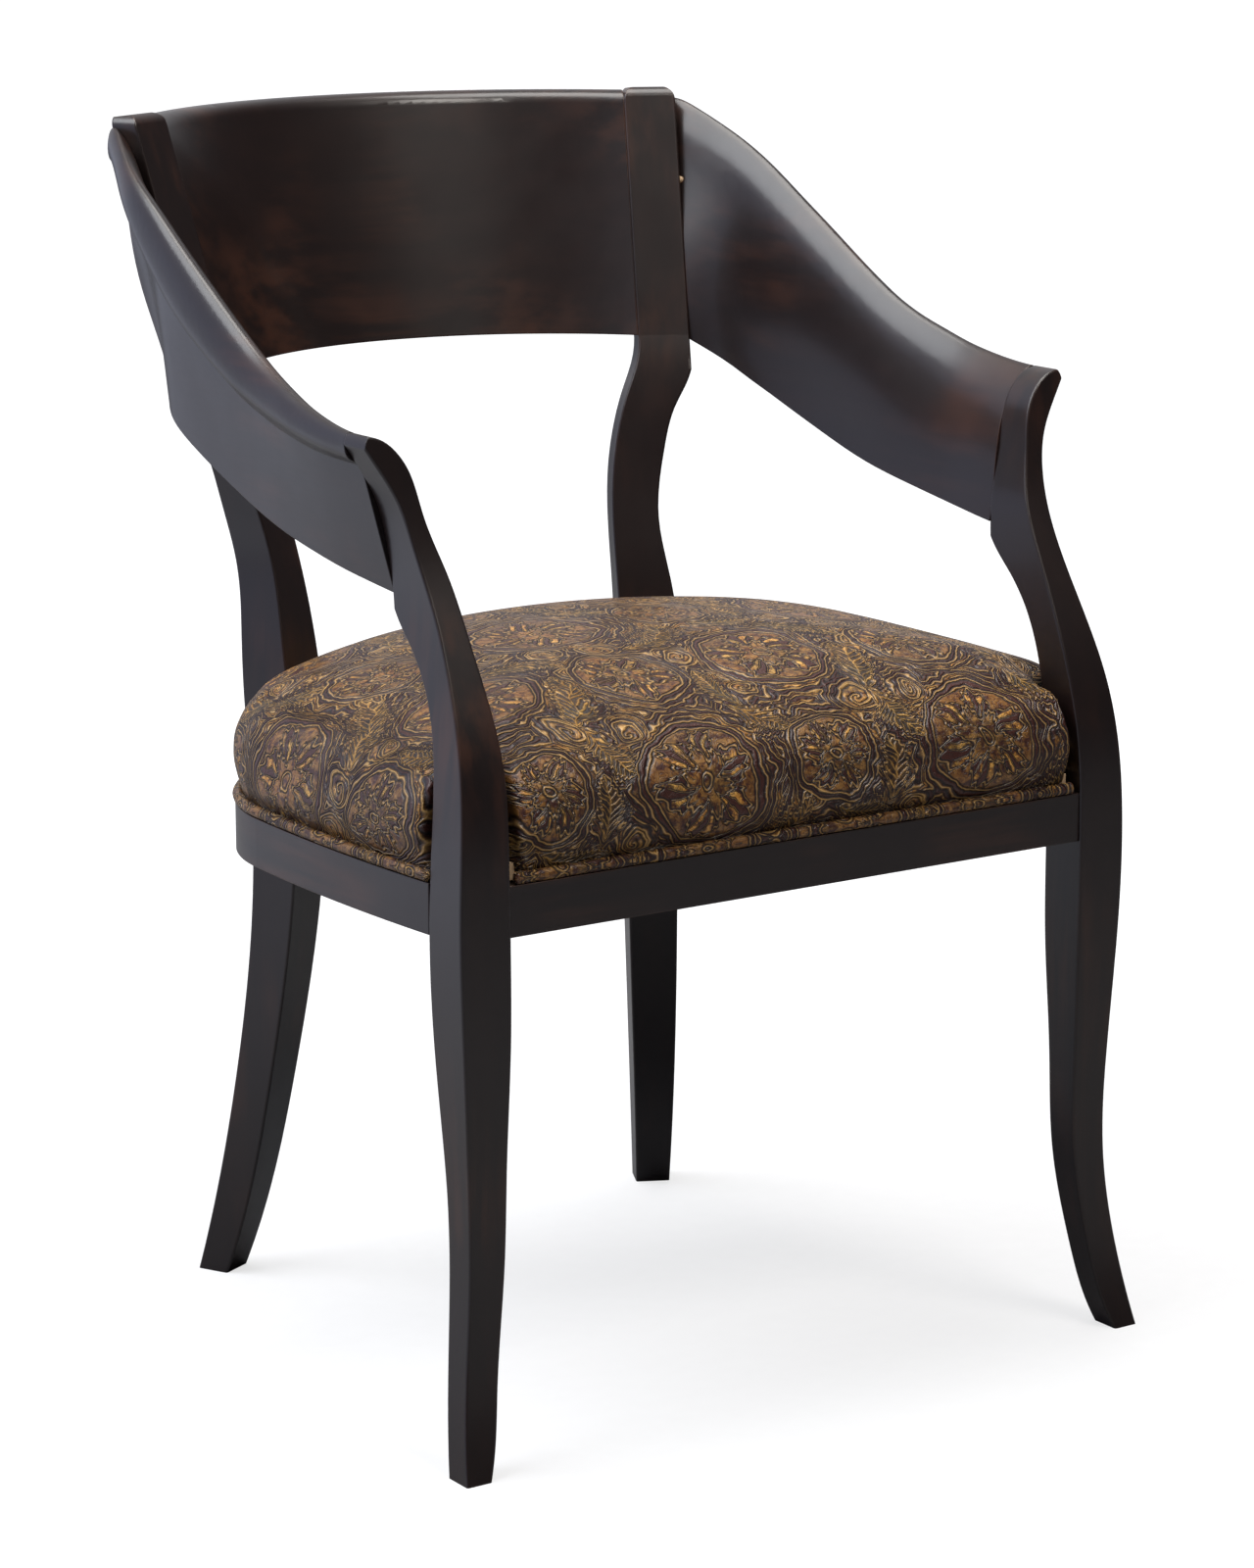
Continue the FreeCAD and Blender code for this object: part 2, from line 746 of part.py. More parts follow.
def panel_section():
    """Section through the panel: a leaning board with a softly rolled top."""
    bottom = size("panel_bottom")
    top = PANEL_TOP
    roll = 9.0
    back_roll = 6.0
    face_top = (panel_inner(top - roll), top - roll)
    face_mid = (panel_inner(top) + 1.2, top - 0.30 * roll)
    crest = (panel_inner(top) + roll - 1.0, top)
    back_crest = (panel_inner(top) + panel_run - back_roll, top)
    back_mid = (panel_inner(top) + panel_run - 1.9, top - 2.1)
    back_top = (panel_inner(top - back_roll) + panel_run, top - back_roll)
    back_low = (panel_inner(bottom) + panel_run, bottom)
    return [
        line(panel_low, face_top),
        arc(face_top, face_mid, crest),
        line(crest, back_crest),
        arc(back_crest, back_mid, back_top),
        line(back_top, back_low),
        line(back_low, panel_low),
    ]


panel_body, panel_sketch = body_with_sketch("panel_bent", "YZ_Plane", panel_section())
panel_turn = panel_body.newObject("PartDesign::Revolution", "panel_turn")
panel_turn.Profile = panel_sketch
panel_turn.ReferenceAxis = (panel_sketch, ["V_Axis"])
panel_turn.Midplane = True
bind(panel_turn, "Angle", "sizes.panel_span")
panel_body.Placement = Placement(Vector(0, size("panel_axis"), 0), Rotation())


def trim_block(name, face, height, towards):
    """A block whose one face lies on a straight side face of the back post."""
    reach = 200.0
    block = doc.addObject("Part::Box", name)
    block.Length = reach
    block.Width = 3 * reach
    block.Height = reach + size("post_top")
    tilt = Rotation(Vector(0, 1, 0), -math.degrees(SIDE_TAPER))
    shift = 0.0 if towards > 0 else -reach
    local = Placement(Vector(face, 0, height), tilt)
    inset = Placement(Vector(shift, -reach, -reach), Rotation())
    block.Placement = POST_PLACE.multiply(local).multiply(inset)
    return block


panel_trim = trim_block("panel_trim", 0.0, size("panel_bottom"), 1)
panel_trims = fused("panel_trims", [panel_trim, mirrored("panel_trim_mirror", panel_trim)])
panel_shape = cut("panel_cut", panel_body, panel_trims)

# Arms: boards whose tops roll outward, carved to one flowing surface.
# Each curve runs along the arm, from 0 at the front post to 1 at the back post's top
# corner. Across, 0 is that corner and 1 the front leg's outer face. The last sections
# run into the back post and are cut away there.

ARM_CREST_ACROSS = (
    (-0.13, 1.22), (0.0, 1.19), (0.19, 1.01), (0.37, 0.83), (0.63, 0.75),
    (0.79, 0.69), (0.86, 0.63), (0.92, 0.51), (0.98, 0.34), (1.05, 0.14), (1.12, -0.02),
)
ARM_LOWER_ACROSS = (
    (-0.13, 0.03), (0.0, 0.09), (0.15, 0.15), (0.40, 0.12), (0.63, 0.06),
    (0.74, -0.03), (0.80, -0.17), (0.86, -0.52), (0.93, -0.86), (1.00, -0.78), (1.12, -0.31),
)
ARM_CREST_RISE = (
    (-0.13, -0.005), (0.0, 0.0), (0.09, 0.022), (0.19, 0.067), (0.37, 0.199),
    (0.63, 0.506), (0.79, 0.706), (0.92, 0.848), (0.98, 0.912), (1.05, 0.950), (1.12, 0.970),
)
ARM_LOWER_RISE = (
    (-0.13, -0.03), (0.0, 0.02), (0.19, 0.118), (0.37, 0.245), (0.55, 0.451),
    (0.72, 0.680), (0.79, 0.800), (0.86, 0.960), (0.93, 1.10), (1.12, 1.30),
)
ARM_BEAD = (
    (-0.13, 22.0), (0.0, 22.5), (0.19, 30.0), (0.37, 42.0), (0.46, 50.0),
    (0.63, 57.0), (0.72, 55.0), (0.79, 50.0), (0.86, 43.0), (0.98, 34.0), (1.12, 28.0),
)
ARM_NOSE = (
    (-0.13, 3.5), (0.0, 3.5), (0.12, 6.5), (0.27, 9.5), (0.46, 12.0), (0.63, 12.0),
    (0.79, 9.5), (0.92, 7.0), (1.12, 4.5),
)
ARM_ROLL = (
    (-0.13, 31.0), (0.0, 29.5), (0.15, 22.0), (0.30, 18.0), (0.63, 17.0), (1.12, 17.0),
)
ARM_WIDENING = (
    (-0.13, 0.05), (0.63, 0.05), (0.79, 0.18), (0.86, 0.33), (0.93, 0.45), (1.12, 0.50),
)
ARM_SECTIONS = 20
ARM_BEGIN, ARM_END = -0.13, 1.045
ROLL_DROP = 30.0


def along_curve(keys, share):
    """Smooth value between the keys of one curve."""
    spots = [key[0] for key in keys]
    values = [key[1] for key in keys]
    last = len(keys) - 1
    slopes = []
    for i in range(last + 1):
        before, after = max(i - 1, 0), min(i + 1, last)
        slopes.append((values[after] - values[before]) / (spots[after] - spots[before]))
    i = max(k for k in range(last) if spots[k] <= share + 1e-9)
    run = spots[i + 1] - spots[i]
    u = (share - spots[i]) / run
    return (
        values[i] * (1 + 2 * u) * (1 - u) ** 2
        + values[i + 1] * u * u * (3 - 2 * u)
        + run * slopes[i] * u * (1 - u) ** 2
        - run * slopes[i + 1] * u * u * (1 - u)
    )


post_corner = POST_PLACE.multVec(
    Vector(side_face(size("post_top")), lean_face(size("post_top")), 0)
)
ARM_START = joint_y(ARM_TOP)
ARM_RUN = post_corner.y - ARM_START
ARM_SPREAD = LEG_OUTER - post_corner.x


def arm_section(share):
    """Section square to the chair's length, as edges in (across, up)."""
    crest = (
        post_corner.x + ARM_SPREAD * along_curve(ARM_CREST_ACROSS, share),
        ARM_TOP
        + (size("post_top") - ARM_TOP) * along_curve(ARM_CREST_RISE, share),
    )
    lower = (
        post_corner.x + ARM_SPREAD * along_curve(ARM_LOWER_ACROSS, share),
        size("arm_underside")
        + (size("panel_bottom") - size("arm_underside"))
        * along_curve(ARM_LOWER_RISE, share),
    )
    roll_across = along_curve(ARM_ROLL, share)
    roll = (crest[0] - roll_across, crest[1] - ROLL_DROP)
    widening = along_curve(ARM_WIDENING, share)
    width = size("arm_thickness") * (1.0 + widening)
    neck = size("arm_thickness") * (1.0 - 0.8 * widening)
    bead = along_curve(ARM_BEAD, share)
    nose = along_curve(ARM_NOSE, share)
    middle = (0.5 * (lower[0] + roll[0]) - 1.5, 0.5 * (lower[1] + roll[1]))
    crease_height = crest[1] - bead
    climb = (crease_height - lower[1]) / (roll[1] - lower[1])
    crease = (lower[0] + neck + climb * (roll[0] - lower[0]), crease_height)
    curve = [
        lower,
        middle,
        roll,
        (crest[0] - 0.35 * roll_across, crest[1] - 0.17 * ROLL_DROP),
        crest,
        (crest[0] + nose, crest[1] - 0.38 * bead),
        (crest[0] + nose - 4.0, crest[1] - 0.80 * bead),
    ]
    outer_lower = (lower[0] + width, lower[1])
    return [
        smooth(curve),
        line(curve[-1], crease),
        line(crease, outer_lower),
        line(outer_lower, lower),
    ]


arm_body = doc.addObject("PartDesign::Body", "arm_carved")
arm_sketches = []
for number in range(ARM_SECTIONS):
    share = ARM_BEGIN + (ARM_END - ARM_BEGIN) * number / (ARM_SECTIONS - 1)
    place = Placement(Vector(0, 0, -(ARM_START + share * ARM_RUN)), Rotation())
    name = "arm_section_%d" % (number + 1)
    sketch = add_sketch(arm_body, name, "XZ_Plane", arm_section(share), place)
    sketch.Visibility = False
    arm_sketches.append(sketch)
doc.recompute()
arm_loft = arm_body.newObject("PartDesign::AdditiveLoft", "arm_loft")
arm_loft.Profile = arm_sketches[0]
arm_loft.Sections = arm_sketches[1:]
arm_loft.Ruled = False

arm_rear_trim = trim_block(
    "arm_rear_trim", size("shoulder_outer"), SHOULDER_HEIGHT, -1
)
front_reach = 200.0
arm_front_trim = doc.addObject("Part::Box", "arm_front_trim")
arm_front_trim.Length = 2 * front_reach
arm_front_trim.Width = front_reach
arm_front_trim.Height = 2 * front_reach
arm_front_trim.Placement = Placement(
    Vector(LEG_INNER - front_reach, joint_y(ARM_TOP), ARM_TOP),
    Rotation(Vector(1, 0, 0), -math.degrees(math.atan(JOINT_LEAN))),
).multiply(Placement(Vector(0, -front_reach, -front_reach), Rotation()))
arm_trims = fused("arm_trims", [arm_rear_trim, arm_front_trim])
arm_shape = cut("arm_cut", arm_body, arm_trims)

# Dowels and screws. Each is made once for the right-hand side and mirrored.


def along_to_circle(start, direction, centre, radius):
    """How far along a level line lies the far side of a vertical cylinder."""
    across = Vector(start.x - centre[0], start.y - centre[1], 0)
    half = across.dot(direction)
    return -half + math.sqrt(half**2 - across.dot(across) + radius**2)


def dowels_with_holes(name, places, kind, length):
    """Dowels at (centre, direction) places, and their holes."""
    made = [
        dowel_and_hole("%s_%d" % (name, i + 1), centre, direction, kind, length)
        for i, (centre, direction) in enumerate(places)
    ]
    return [pair[0] for pair in made], fused(name + "_holes", [pair[1] for pair in made])


def screws_with_holes(name, places, length):
    """Screws at (head, direction, counterbore) places, and their holes."""
    made = [
        screw_and_hole("%s_%d" % (name, i + 1), head, direction, length, counterbore)
        for i, (head, direction, counterbore) in enumerate(places)
    ]
    return [pair[0] for pair in made], fused(name + "_holes", [pair[1] for pair in made])


def both_sides_group(name, right):
    """One node with the right-hand pieces and their mirror images."""
    left = [mirrored(piece.Name + "_left", piece) for piece in right]
    node(group(name + "_set", right + left), name)


def with_mirror(name, source):
    return fused(name, [source, mirrored(name + "_left", source)])


rail_half = size("rail_thickness") / 2
dowel_heights = [RAIL_MIDDLE + s * size("dowel_spacing") / 2 for s in (-1, 1)]
across_x, across_y, upward = Vector(1, 0, 0), Vector(0, 1, 0), Vector(0, 0, 1)

front_rail_dowels, front_rail_holes = dowels_with_holes(
    "front_rail_dowel",
    [(Vector(LEG_INNER, SEAT_FRONT + rail_half, z), across_x) for z in dowel_heights],
    "dowel_diameter",
    "dowel_length",
)
side_dowel_x = side_x(LEG_BACK, rail_half)
side_rail_dowels, side_rail_holes = dowels_with_holes(
    "side_rail_dowel",
    [(Vector(side_dowel_x, LEG_BACK, z), across_y) for z in dowel_heights],
    "dowel_diameter",
    "dowel_length",
)

ARM_DOWELS = ((0.29, 24.3), (0.68, 15.5))
joint_normal = Vector(0, 1, -JOINT_LEAN)
arm_front_dowels, arm_front_holes = dowels_with_holes(
    "arm_front_dowel",
    [
        (
            Vector(LEG_OUTER - inward, joint_y(beside_arm(share)), beside_arm(share)),
            joint_normal,
        )
        for share, inward in ARM_DOWELS
    ],
    "dowel_diameter",
    "arm_dowel_length",
)

PANEL_AXIS = (0.0, size("panel_axis"))
panel_dowel_places = []
for share in (0.25, 0.78):
    height = size("panel_bottom") + share * panel_rise
    start = POST_PLACE.multVec(Vector(inner_face(height), 0, height))
    radius = panel_inner(height) + panel_run / 2
    centre = start + BACKWARD * along_to_circle(start, BACKWARD, PANEL_AXIS, radius)
    tangent = Vector(centre.y - PANEL_AXIS[1], -centre.x, 0).normalize()
    panel_dowel_places.append((centre, tangent + LATERAL))
panel_dowels, panel_holes = dowels_with_holes(
    "panel_dowel", panel_dowel_places, "thin_dowel_diameter", "thin_dowel_length"
)

arm_rear_places = []
for share, behind in ((0.19, 12.0), (0.62, 7.0)):
    height = size("panel_bottom") + share * (size("post_top") - size("panel_bottom"))
    local = Vector(side_face(height), lean_face(height) + behind, height)
    arm_rear_places.append((POST_PLACE.multVec(local), LATERAL))
arm_rear_dowels, arm_rear_holes = dowels_with_holes(
    "arm_rear_dowel", arm_rear_places, "thin_dowel_diameter", "thin_dowel_length"
)

HEAD_SUNK = 1.0
leg_screw_places = []
for across in (-12.0, 12.0):
    start = POST_PLACE.multVec(Vector(across, 0, RAIL_MIDDLE))
    inner_radius = size("back_radius") - size("rail_thickness")
    reach = along_to_circle(start, BACKWARD, BACK_CENTRE, inner_radius)
    leg_screw_places.append((start + BACKWARD * (reach + HEAD_SUNK), BACKWARD, 6.0))
leg_screws, leg_screw_holes = screws_with_holes(
    "rear_leg_screw", leg_screw_places, "leg_screw_length"
)

# Corner blocks, glued and screwed inside the rails

block_bottom = "sizes.rail_bottom + sizes.rail_height - sizes.dust_cloth - sizes.block_height"
inside_rails = slab(
    "inside_rails",
    seat_plan(size("rail_thickness") + size("fit")),
    "sizes.rail_bottom",
    "sizes.rail_height",
)
far_x = side_x(LEG_BACK, 0.0)
front_block_outline = polygon(
    [
        (LEG_INNER - size("block_arm"), RAIL_BACK_FACE),
        (LEG_INNER, RAIL_BACK_FACE),
        (LEG_INNER, LEG_BACK),
        (far_x, LEG_BACK),
        (far_x, LEG_BACK + size("block_arm")),
        (side_x(LEG_BACK, size("rail_thickness")), LEG_BACK + size("block_arm")),
    ]
)
front_block_blank = slab(
    "front_block_blank", front_block_outline, block_bottom, "sizes.block_height"
)
half_width = size("rear_block_width") / 2
block_face = size("rail_thickness") + size("rear_block_depth") - 5.0
rear_block_outline = polygon(
    [
        (-half_width, 0.0),
        (-half_width, -block_face),
        (half_width, -block_face),
        (half_width, 0.0),
    ]
)
rear_block_blank = slab(
    "rear_block_blank", rear_block_outline, block_bottom, "sizes.block_height"
)
rear_block_blank.Placement.Base.x = POST_PLACE.Base.x
rear_block_blank.Placement.Base.y = POST_PLACE.Base.y
rear_block_blank.Placement.Rotation = POST_PLACE.Rotation
front_block = common("front_block", front_block_blank, inside_rails)
rear_block = common("rear_block", rear_block_blank, inside_rails)

BLOCK_BOTTOM = RAIL_TOP - size("dust_cloth") - size("block_height")
block_middle = BLOCK_BOTTOM + size("block_height") / 2
block_screw_places = [
    (Vector(LEG_INNER - 37.0, RAIL_BACK_FACE + 19.0, block_middle), -across_y, 14.0),
    (Vector(LEG_INNER - 4.0, LEG_BACK + 37.0, block_middle), across_x, 14.0),
]
for across in (-32.0, 32.0):
    local = Vector(across, 10.0 - block_face, block_middle)
    block_screw_places.append((POST_PLACE.multVec(local), BACKWARD, 14.0))
block_screws, block_screw_holes = screws_with_holes(
    "block_screw", block_screw_places, "screw_length"
)
seat_screw_places = [
    (Vector(LEG_INNER - 14.0, LEG_BACK + 12.5, BLOCK_BOTTOM + HEAD_SUNK), upward, 6.0),
    (POST_PLACE.multVec(Vector(0, -42.0, BLOCK_BOTTOM + HEAD_SUNK)), upward, 6.0),
]
seat_screws, seat_screw_holes = screws_with_holes(
    "seat_screw", seat_screw_places, "screw_length"
)

# Seat: board, foam and leather cover, notched round the legs


NOTCH_REACH = 50.0
NOTCH_EASE = 1.2


def leg_notch(name, gap):
    """Room for the front leg, which sweeps back as it rises."""
    behind = [(y + NOTCH_EASE + gap, z) for y, z in reversed(post_back_face())]
    outline = [
        (LEG_FACE - NOTCH_REACH, RAIL_TOP - 20.0),
        (LEG_BACK + gap, RAIL_TOP - 20.0),
        (LEG_BACK + gap, RAIL_TOP + 10.0),
        *behind,
        (LEG_FACE - NOTCH_REACH, behind[-1][1]),
    ]
    notch = padded(name, "YZ_Plane", polygon(outline), "%g mm" % (2 * NOTCH_REACH))
    notch.Placement.Base.x = LEG_INNER - 2.8 - gap
    return notch


def post_notch(name, gap, depth):
    """Room for the back post, cut to a depth in front of its face."""
    wide_in = size("rear_waist_inner") + gap
    wide_out = size("rear_outer") + gap
    outline = [(-wide_in, -depth), (wide_out, -depth), (wide_out, 60.0), (-wide_in, 60.0)]
    notch = padded(name, "XY_Plane", polygon(outline), "120 mm")
    lift = Placement(Vector(0, 0, RAIL_TOP - 20.0), Rotation())
    notch.Placement = lift.multiply(POST_PLACE)
    return notch


def notches(name, gap, depth):
    right = fused(
        name + "_right",
        [leg_notch(name + "_leg", gap), post_notch(name + "_post", gap, depth)],
    )
    return with_mirror(name, right)


CUSHION_FOOT = 7.0
CUSHION_TUCK = 7.0
CUSHION_SIDES = ((0.0, 11.8), (0.76, 23.0), (1.0, 38.0), (0.76, 55.0), (-0.2, 68.0))
CUSHION_DOME = (1.0, 0.93, 0.84, 0.72, 0.56, 0.38, 0.18)
SHOULDER_INSET = 10.0


def cushion_form():
    """The cushion's outer form, from its tucked foot to its crown."""
    levels = [(CUSHION_TUCK, 1.0, CUSHION_FOOT)]
    for bulge, height in CUSHION_SIDES:
        levels.append((-bulge * size("side_bulge"), 1.0, height))
    rise = size("crown_height") - size("shoulder_height")
    for share in CUSHION_DOME:
        height = size("shoulder_height") + rise * (1.0 - share**2.5)
        levels.append((SHOULDER_INSET, share, height))
    body = doc.addObject("PartDesign::Body", "cushion")
    sketches = []
    for number, (inset, share, height) in enumerate(levels):
        sketch = add_sketch(
            body,
            "cushion_outline_%d" % (number + 1),
            "XY_Plane",
            scaled_plan(inset, share, size("crown_y")),
            Placement(Vector(0, 0, RAIL_TOP + height), Rotation()),
        )
        sketch.Visibility = False
        sketches.append(sketch)
    doc.recompute()
    loft = body.newObject("PartDesign::AdditiveLoft", "cushion_loft")
    loft.Profile = sketches[0]
    loft.Sections = sketches[1:]
    loft.Ruled = True
    foot = slab("cushion_foot", seat_plan(CUSHION_TUCK), rail_top, "%g mm" % CUSHION_FOOT)
    return fused("cushion_form", [body, foot])


def notched_slab(name, inset, bottom, height, gap):
    """A level sheet of the seat's plan with room for the legs."""
    full = slab(name + "_full", seat_plan(inset), bottom, height)
    return cut(name + "_notched", full, notches(name + "_gap", gap, gap))


relief = size("leg_relief")
leather = size("cover_thickness")
soft_gap = size("fit")
rail_top = "sizes.rail_bottom + sizes.rail_height"
hem_top = rail_top + " + sizes.cover_thickness"
board_top = hem_top + " + sizes.board_thickness"
cover_inset = CUSHION_TUCK + leather
foam_inset = cover_inset + size("padding_thickness")
foam_gap = relief + leather + size("padding_thickness")

cover_outer = cut("cover_outer", cushion_form(), notches("skin_gap", relief, relief))
board_room = notched_slab(
    "board_room", cover_inset, hem_top, "sizes.board_thickness", relief + leather
)
foam_room = notched_slab("foam_room", foam_inset, board_top, "sizes.foam_height", foam_gap)
hem_opening = slab(
    "hem_opening",
    seat_plan(CUSHION_TUCK + size("hem_width")),
    rail_top,
    "sizes.cover_thickness",
)
cover_hollow = fused("cover_hollow", [board_room, foam_room, hem_opening])

foam_shape = notched_slab(
    "foam", foam_inset + soft_gap, board_top, "sizes.foam_height - sizes.fit", foam_gap + soft_gap
)
board_shape = notched_slab(
    "board",
    cover_inset + soft_gap,
    hem_top,
    "sizes.board_thickness",
    relief + leather + soft_gap,
)
cloth_shape = notched_slab(
    "cloth",
    size("rail_thickness") + 2 * soft_gap,
    rail_top + " - sizes.dust_cloth",
    "sizes.dust_cloth",
    relief,
)

# Piping, in bends of constant radius that follow the rails

WELT_HEIGHT = RAIL_TOP + size("welt_diameter") / 2


def welt_bend(name, centre, radius, start, end):
    bend = doc.addObject("Part::Torus", name)
    bind(bend, "Radius2", "sizes.welt_diameter / 2")
    bend.Radius1 = radius - size("welt_inset")
    bend.Angle1 = -180
    bend.Angle2 = 180
    bend.Angle3 = end - start
    bend.Placement = Placement(
        Vector(centre[0], centre[1], WELT_HEIGHT), Rotation(Vector(0, 0, 1), 90.0 - end)
    )
    return bend


side_start = side_angle_at(LEG_BACK - 5.0, size("welt_inset"))
welt_side = fused(
    "welt_side_bends",
    [
        welt_bend(
            "welt_corner",
            CORNER_CENTRE,
            size("corner_radius"),
            size("back_angle"),
            SIDE_TURN,
        ),
        welt_bend("welt_flank", SIDE_CENTRE, size("side_radius"), SIDE_TURN, side_start),
        welt_bend(
            "welt_inner", BACK_CENTRE, size("back_radius"), JOINT_ANGLE, size("back_angle")
        ),
    ],
)
welt_rear = welt_bend(
    "welt_rear", BACK_CENTRE, size("back_radius"), -JOINT_ANGLE, JOINT_ANGLE
)
welt_gaps = notches("welt_gap", relief, size("welt_diameter"))
welt_front = rod(
    "welt_front_rod",
    Vector(0, SEAT_FRONT + size("welt_inset"), WELT_HEIGHT),
    across_x,
    "sizes.welt_diameter",
    "sizes.leg_gap + 10",
)

# Bring the pieces together

front_leg_holes = fused(
    "front_leg_holes", [front_rail_holes, side_rail_holes, arm_front_holes]
)
rear_leg_holes = fused("rear_leg_holes", [panel_holes, arm_rear_holes, leg_screw_holes])
rear_leg_housed = cut("rear_leg_housed", rear_leg_shape, rail_housing)
both_sides("front_leg", cut("front_leg_drilled", front_leg_shape, front_leg_holes))
both_sides("rear_leg", cut("rear_leg_drilled", rear_leg_housed, rear_leg_holes))
arm_holes = fused("arm_holes", [arm_front_holes, arm_rear_holes])
both_sides("arm", cut("arm_drilled", arm_shape, arm_holes))
panel_both = with_mirror("panel_holes_both", panel_holes)
node(cut("panel_drilled", panel_shape, panel_both), "back_panel")
front_rail_right = fused("front_rail_right", [front_rail_holes, block_screw_holes])
front_rail_both = with_mirror("front_rail_both", front_rail_right)
node(cut("front_rail_drilled", front_rail_shape, front_rail_both), "front_rail")
side_holes = fused("side_holes", [side_rail_holes, block_screw_holes, leg_screw_holes])
both_sides("side_rail", cut("side_rail_drilled", side_rail_shape, side_holes))
back_right = fused("back_rail_right", [block_screw_holes, leg_screw_holes])
back_both = with_mirror("back_rail_both", back_right)
node(cut("back_rail_drilled", back_rail_shape, back_both), "back_rail")
block_holes = fused("block_holes", [block_screw_holes, seat_screw_holes])
both_sides("front_block", cut("front_block_drilled", front_block, block_holes))
both_sides("rear_block", cut("rear_block_drilled", rear_block, block_holes))
both_sides_group("rail_dowels", front_rail_dowels + side_rail_dowels)
both_sides_group("arm_front_dowels", arm_front_dowels)
both_sides_group("arm_rear_dowels", arm_rear_dowels)
both_sides_group("panel_dowels", panel_dowels)
both_sides_group("rear_leg_screws", leg_screws)
both_sides_group("block_screws", block_screws)
both_sides_group("seat_screws", seat_screws)

seat_holes = with_mirror("seat_holes", seat_screw_holes)
node(cut("board_drilled", board_shape, seat_holes), "seat_board")
node(cut("cloth_drilled", cloth_shape, seat_holes), "dust_cover")
node(foam_shape, "seat_foam")
node(cut("cover_shape", cover_outer, cover_hollow), "seat_cover")
node(cut("welt_front_cut", welt_front, welt_gaps), "welt_front")
both_sides("welt_side", cut("welt_side_cut", welt_side, welt_gaps))
node(cut("welt_rear_cut", welt_rear, welt_gaps), "welt_back")

doc.recompute()

# Check every object, then write one file for each piece

os.makedirs("parts", exist_ok=True)
for thing in doc.Objects:
    if "Invalid" in thing.State or "Error" in thing.State:
        raise RuntimeError("%s failed: %s" % (thing.Name, thing.State))
for thing in nodes:
    shape = thing.Shape
    if shape.isNull() or not shape.isValid() or not shape.Solids:
        raise RuntimeError("%s has no valid solid" % thing.Label)
    box = shape.BoundBox
    print(
        "%-22s solids %d volume %9.0f  x %7.1f %7.1f  y %7.1f %7.1f  z %6.1f %6.1f"
        % (
            thing.Label,
            len(shape.Solids),
            shape.Volume,
            box.XMin,
            box.XMax,
            box.YMin,
            box.YMax,
            box.ZMin,
            box.ZMax,
        )
    )
    shape.exportStep("parts/%s.step" % thing.Label)
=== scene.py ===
import math

import bpy
import numpy as np
from mathutils import Matrix, Vector
from mathutils.kdtree import KDTree


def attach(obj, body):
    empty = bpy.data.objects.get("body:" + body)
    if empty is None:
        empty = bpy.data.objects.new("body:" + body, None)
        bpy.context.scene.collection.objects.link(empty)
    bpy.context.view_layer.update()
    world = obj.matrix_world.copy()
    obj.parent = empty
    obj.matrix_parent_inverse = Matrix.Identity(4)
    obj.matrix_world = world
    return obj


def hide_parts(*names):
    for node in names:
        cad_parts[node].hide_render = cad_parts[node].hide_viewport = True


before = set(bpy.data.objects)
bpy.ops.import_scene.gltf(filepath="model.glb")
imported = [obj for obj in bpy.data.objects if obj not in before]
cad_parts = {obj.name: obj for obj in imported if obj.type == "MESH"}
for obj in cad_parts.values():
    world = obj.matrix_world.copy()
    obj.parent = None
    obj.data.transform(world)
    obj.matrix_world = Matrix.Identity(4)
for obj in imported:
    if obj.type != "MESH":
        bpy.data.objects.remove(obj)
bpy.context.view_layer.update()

# Klismos armchair: near-black stained wood, seat in embossed floral leather.
# Metres, +Z up, the sitter faces -Y. RAIL_TOP is the top of the seat rails.

RAIL_TOP = 0.402

# Camera at the photograph's angle, and a plain studio

AZIMUTH = math.radians(-34.413)
ELEVATION = math.radians(12.330)
DISTANCE = 3.3527
TARGET = Vector((0.0, -0.1076, 0.435))
FOCAL_PIXELS = 4777.3
SENSOR_WIDTH = 36.0
IMAGE = (1280, 1600)
PRINCIPAL = (660.0, 756.3)


def direction(azimuth, elevation):
    """Unit vector towards a viewer at this azimuth and elevation."""
    level = math.cos(elevation)
    return Vector(
        (math.sin(azimuth) * level, -math.cos(azimuth) * level, math.sin(elevation))
    )


def make_camera():
    back = direction(AZIMUTH, ELEVATION)
    right = Vector((math.cos(AZIMUTH), math.sin(AZIMUTH), 0.0))
    up = back.cross(right)
    data = bpy.data.cameras.new("camera")
    data.sensor_width = SENSOR_WIDTH
    data.lens = FOCAL_PIXELS / IMAGE[1] * SENSOR_WIDTH
    data.shift_x = (IMAGE[0] / 2 - PRINCIPAL[0]) / IMAGE[1]
    data.shift_y = (PRINCIPAL[1] - IMAGE[1] / 2) / IMAGE[1]
    camera = bpy.data.objects.new("camera", data)
    turn = Matrix((right, up, back)).transposed().to_4x4()
    camera.matrix_world = Matrix.Translation(TARGET + back * DISTANCE) @ turn
    bpy.context.collection.objects.link(camera)
    bpy.context.scene.camera = camera


def area_light(name, place, aim, width, height, watts, colour):
    data = bpy.data.lights.new(name, "AREA")
    data.shape = "RECTANGLE"
    data.size = width
    data.size_y = height
    data.energy = watts
    data.color = colour
    lamp = bpy.data.objects.new(name, data)
    lamp.location = place
    look = (Vector(place) - Vector(aim)).to_track_quat("Z", "Y")
    lamp.rotation_euler = look.to_euler()
    bpy.context.collection.objects.link(lamp)


# Node helpers: a short way to write arithmetic in a node tree


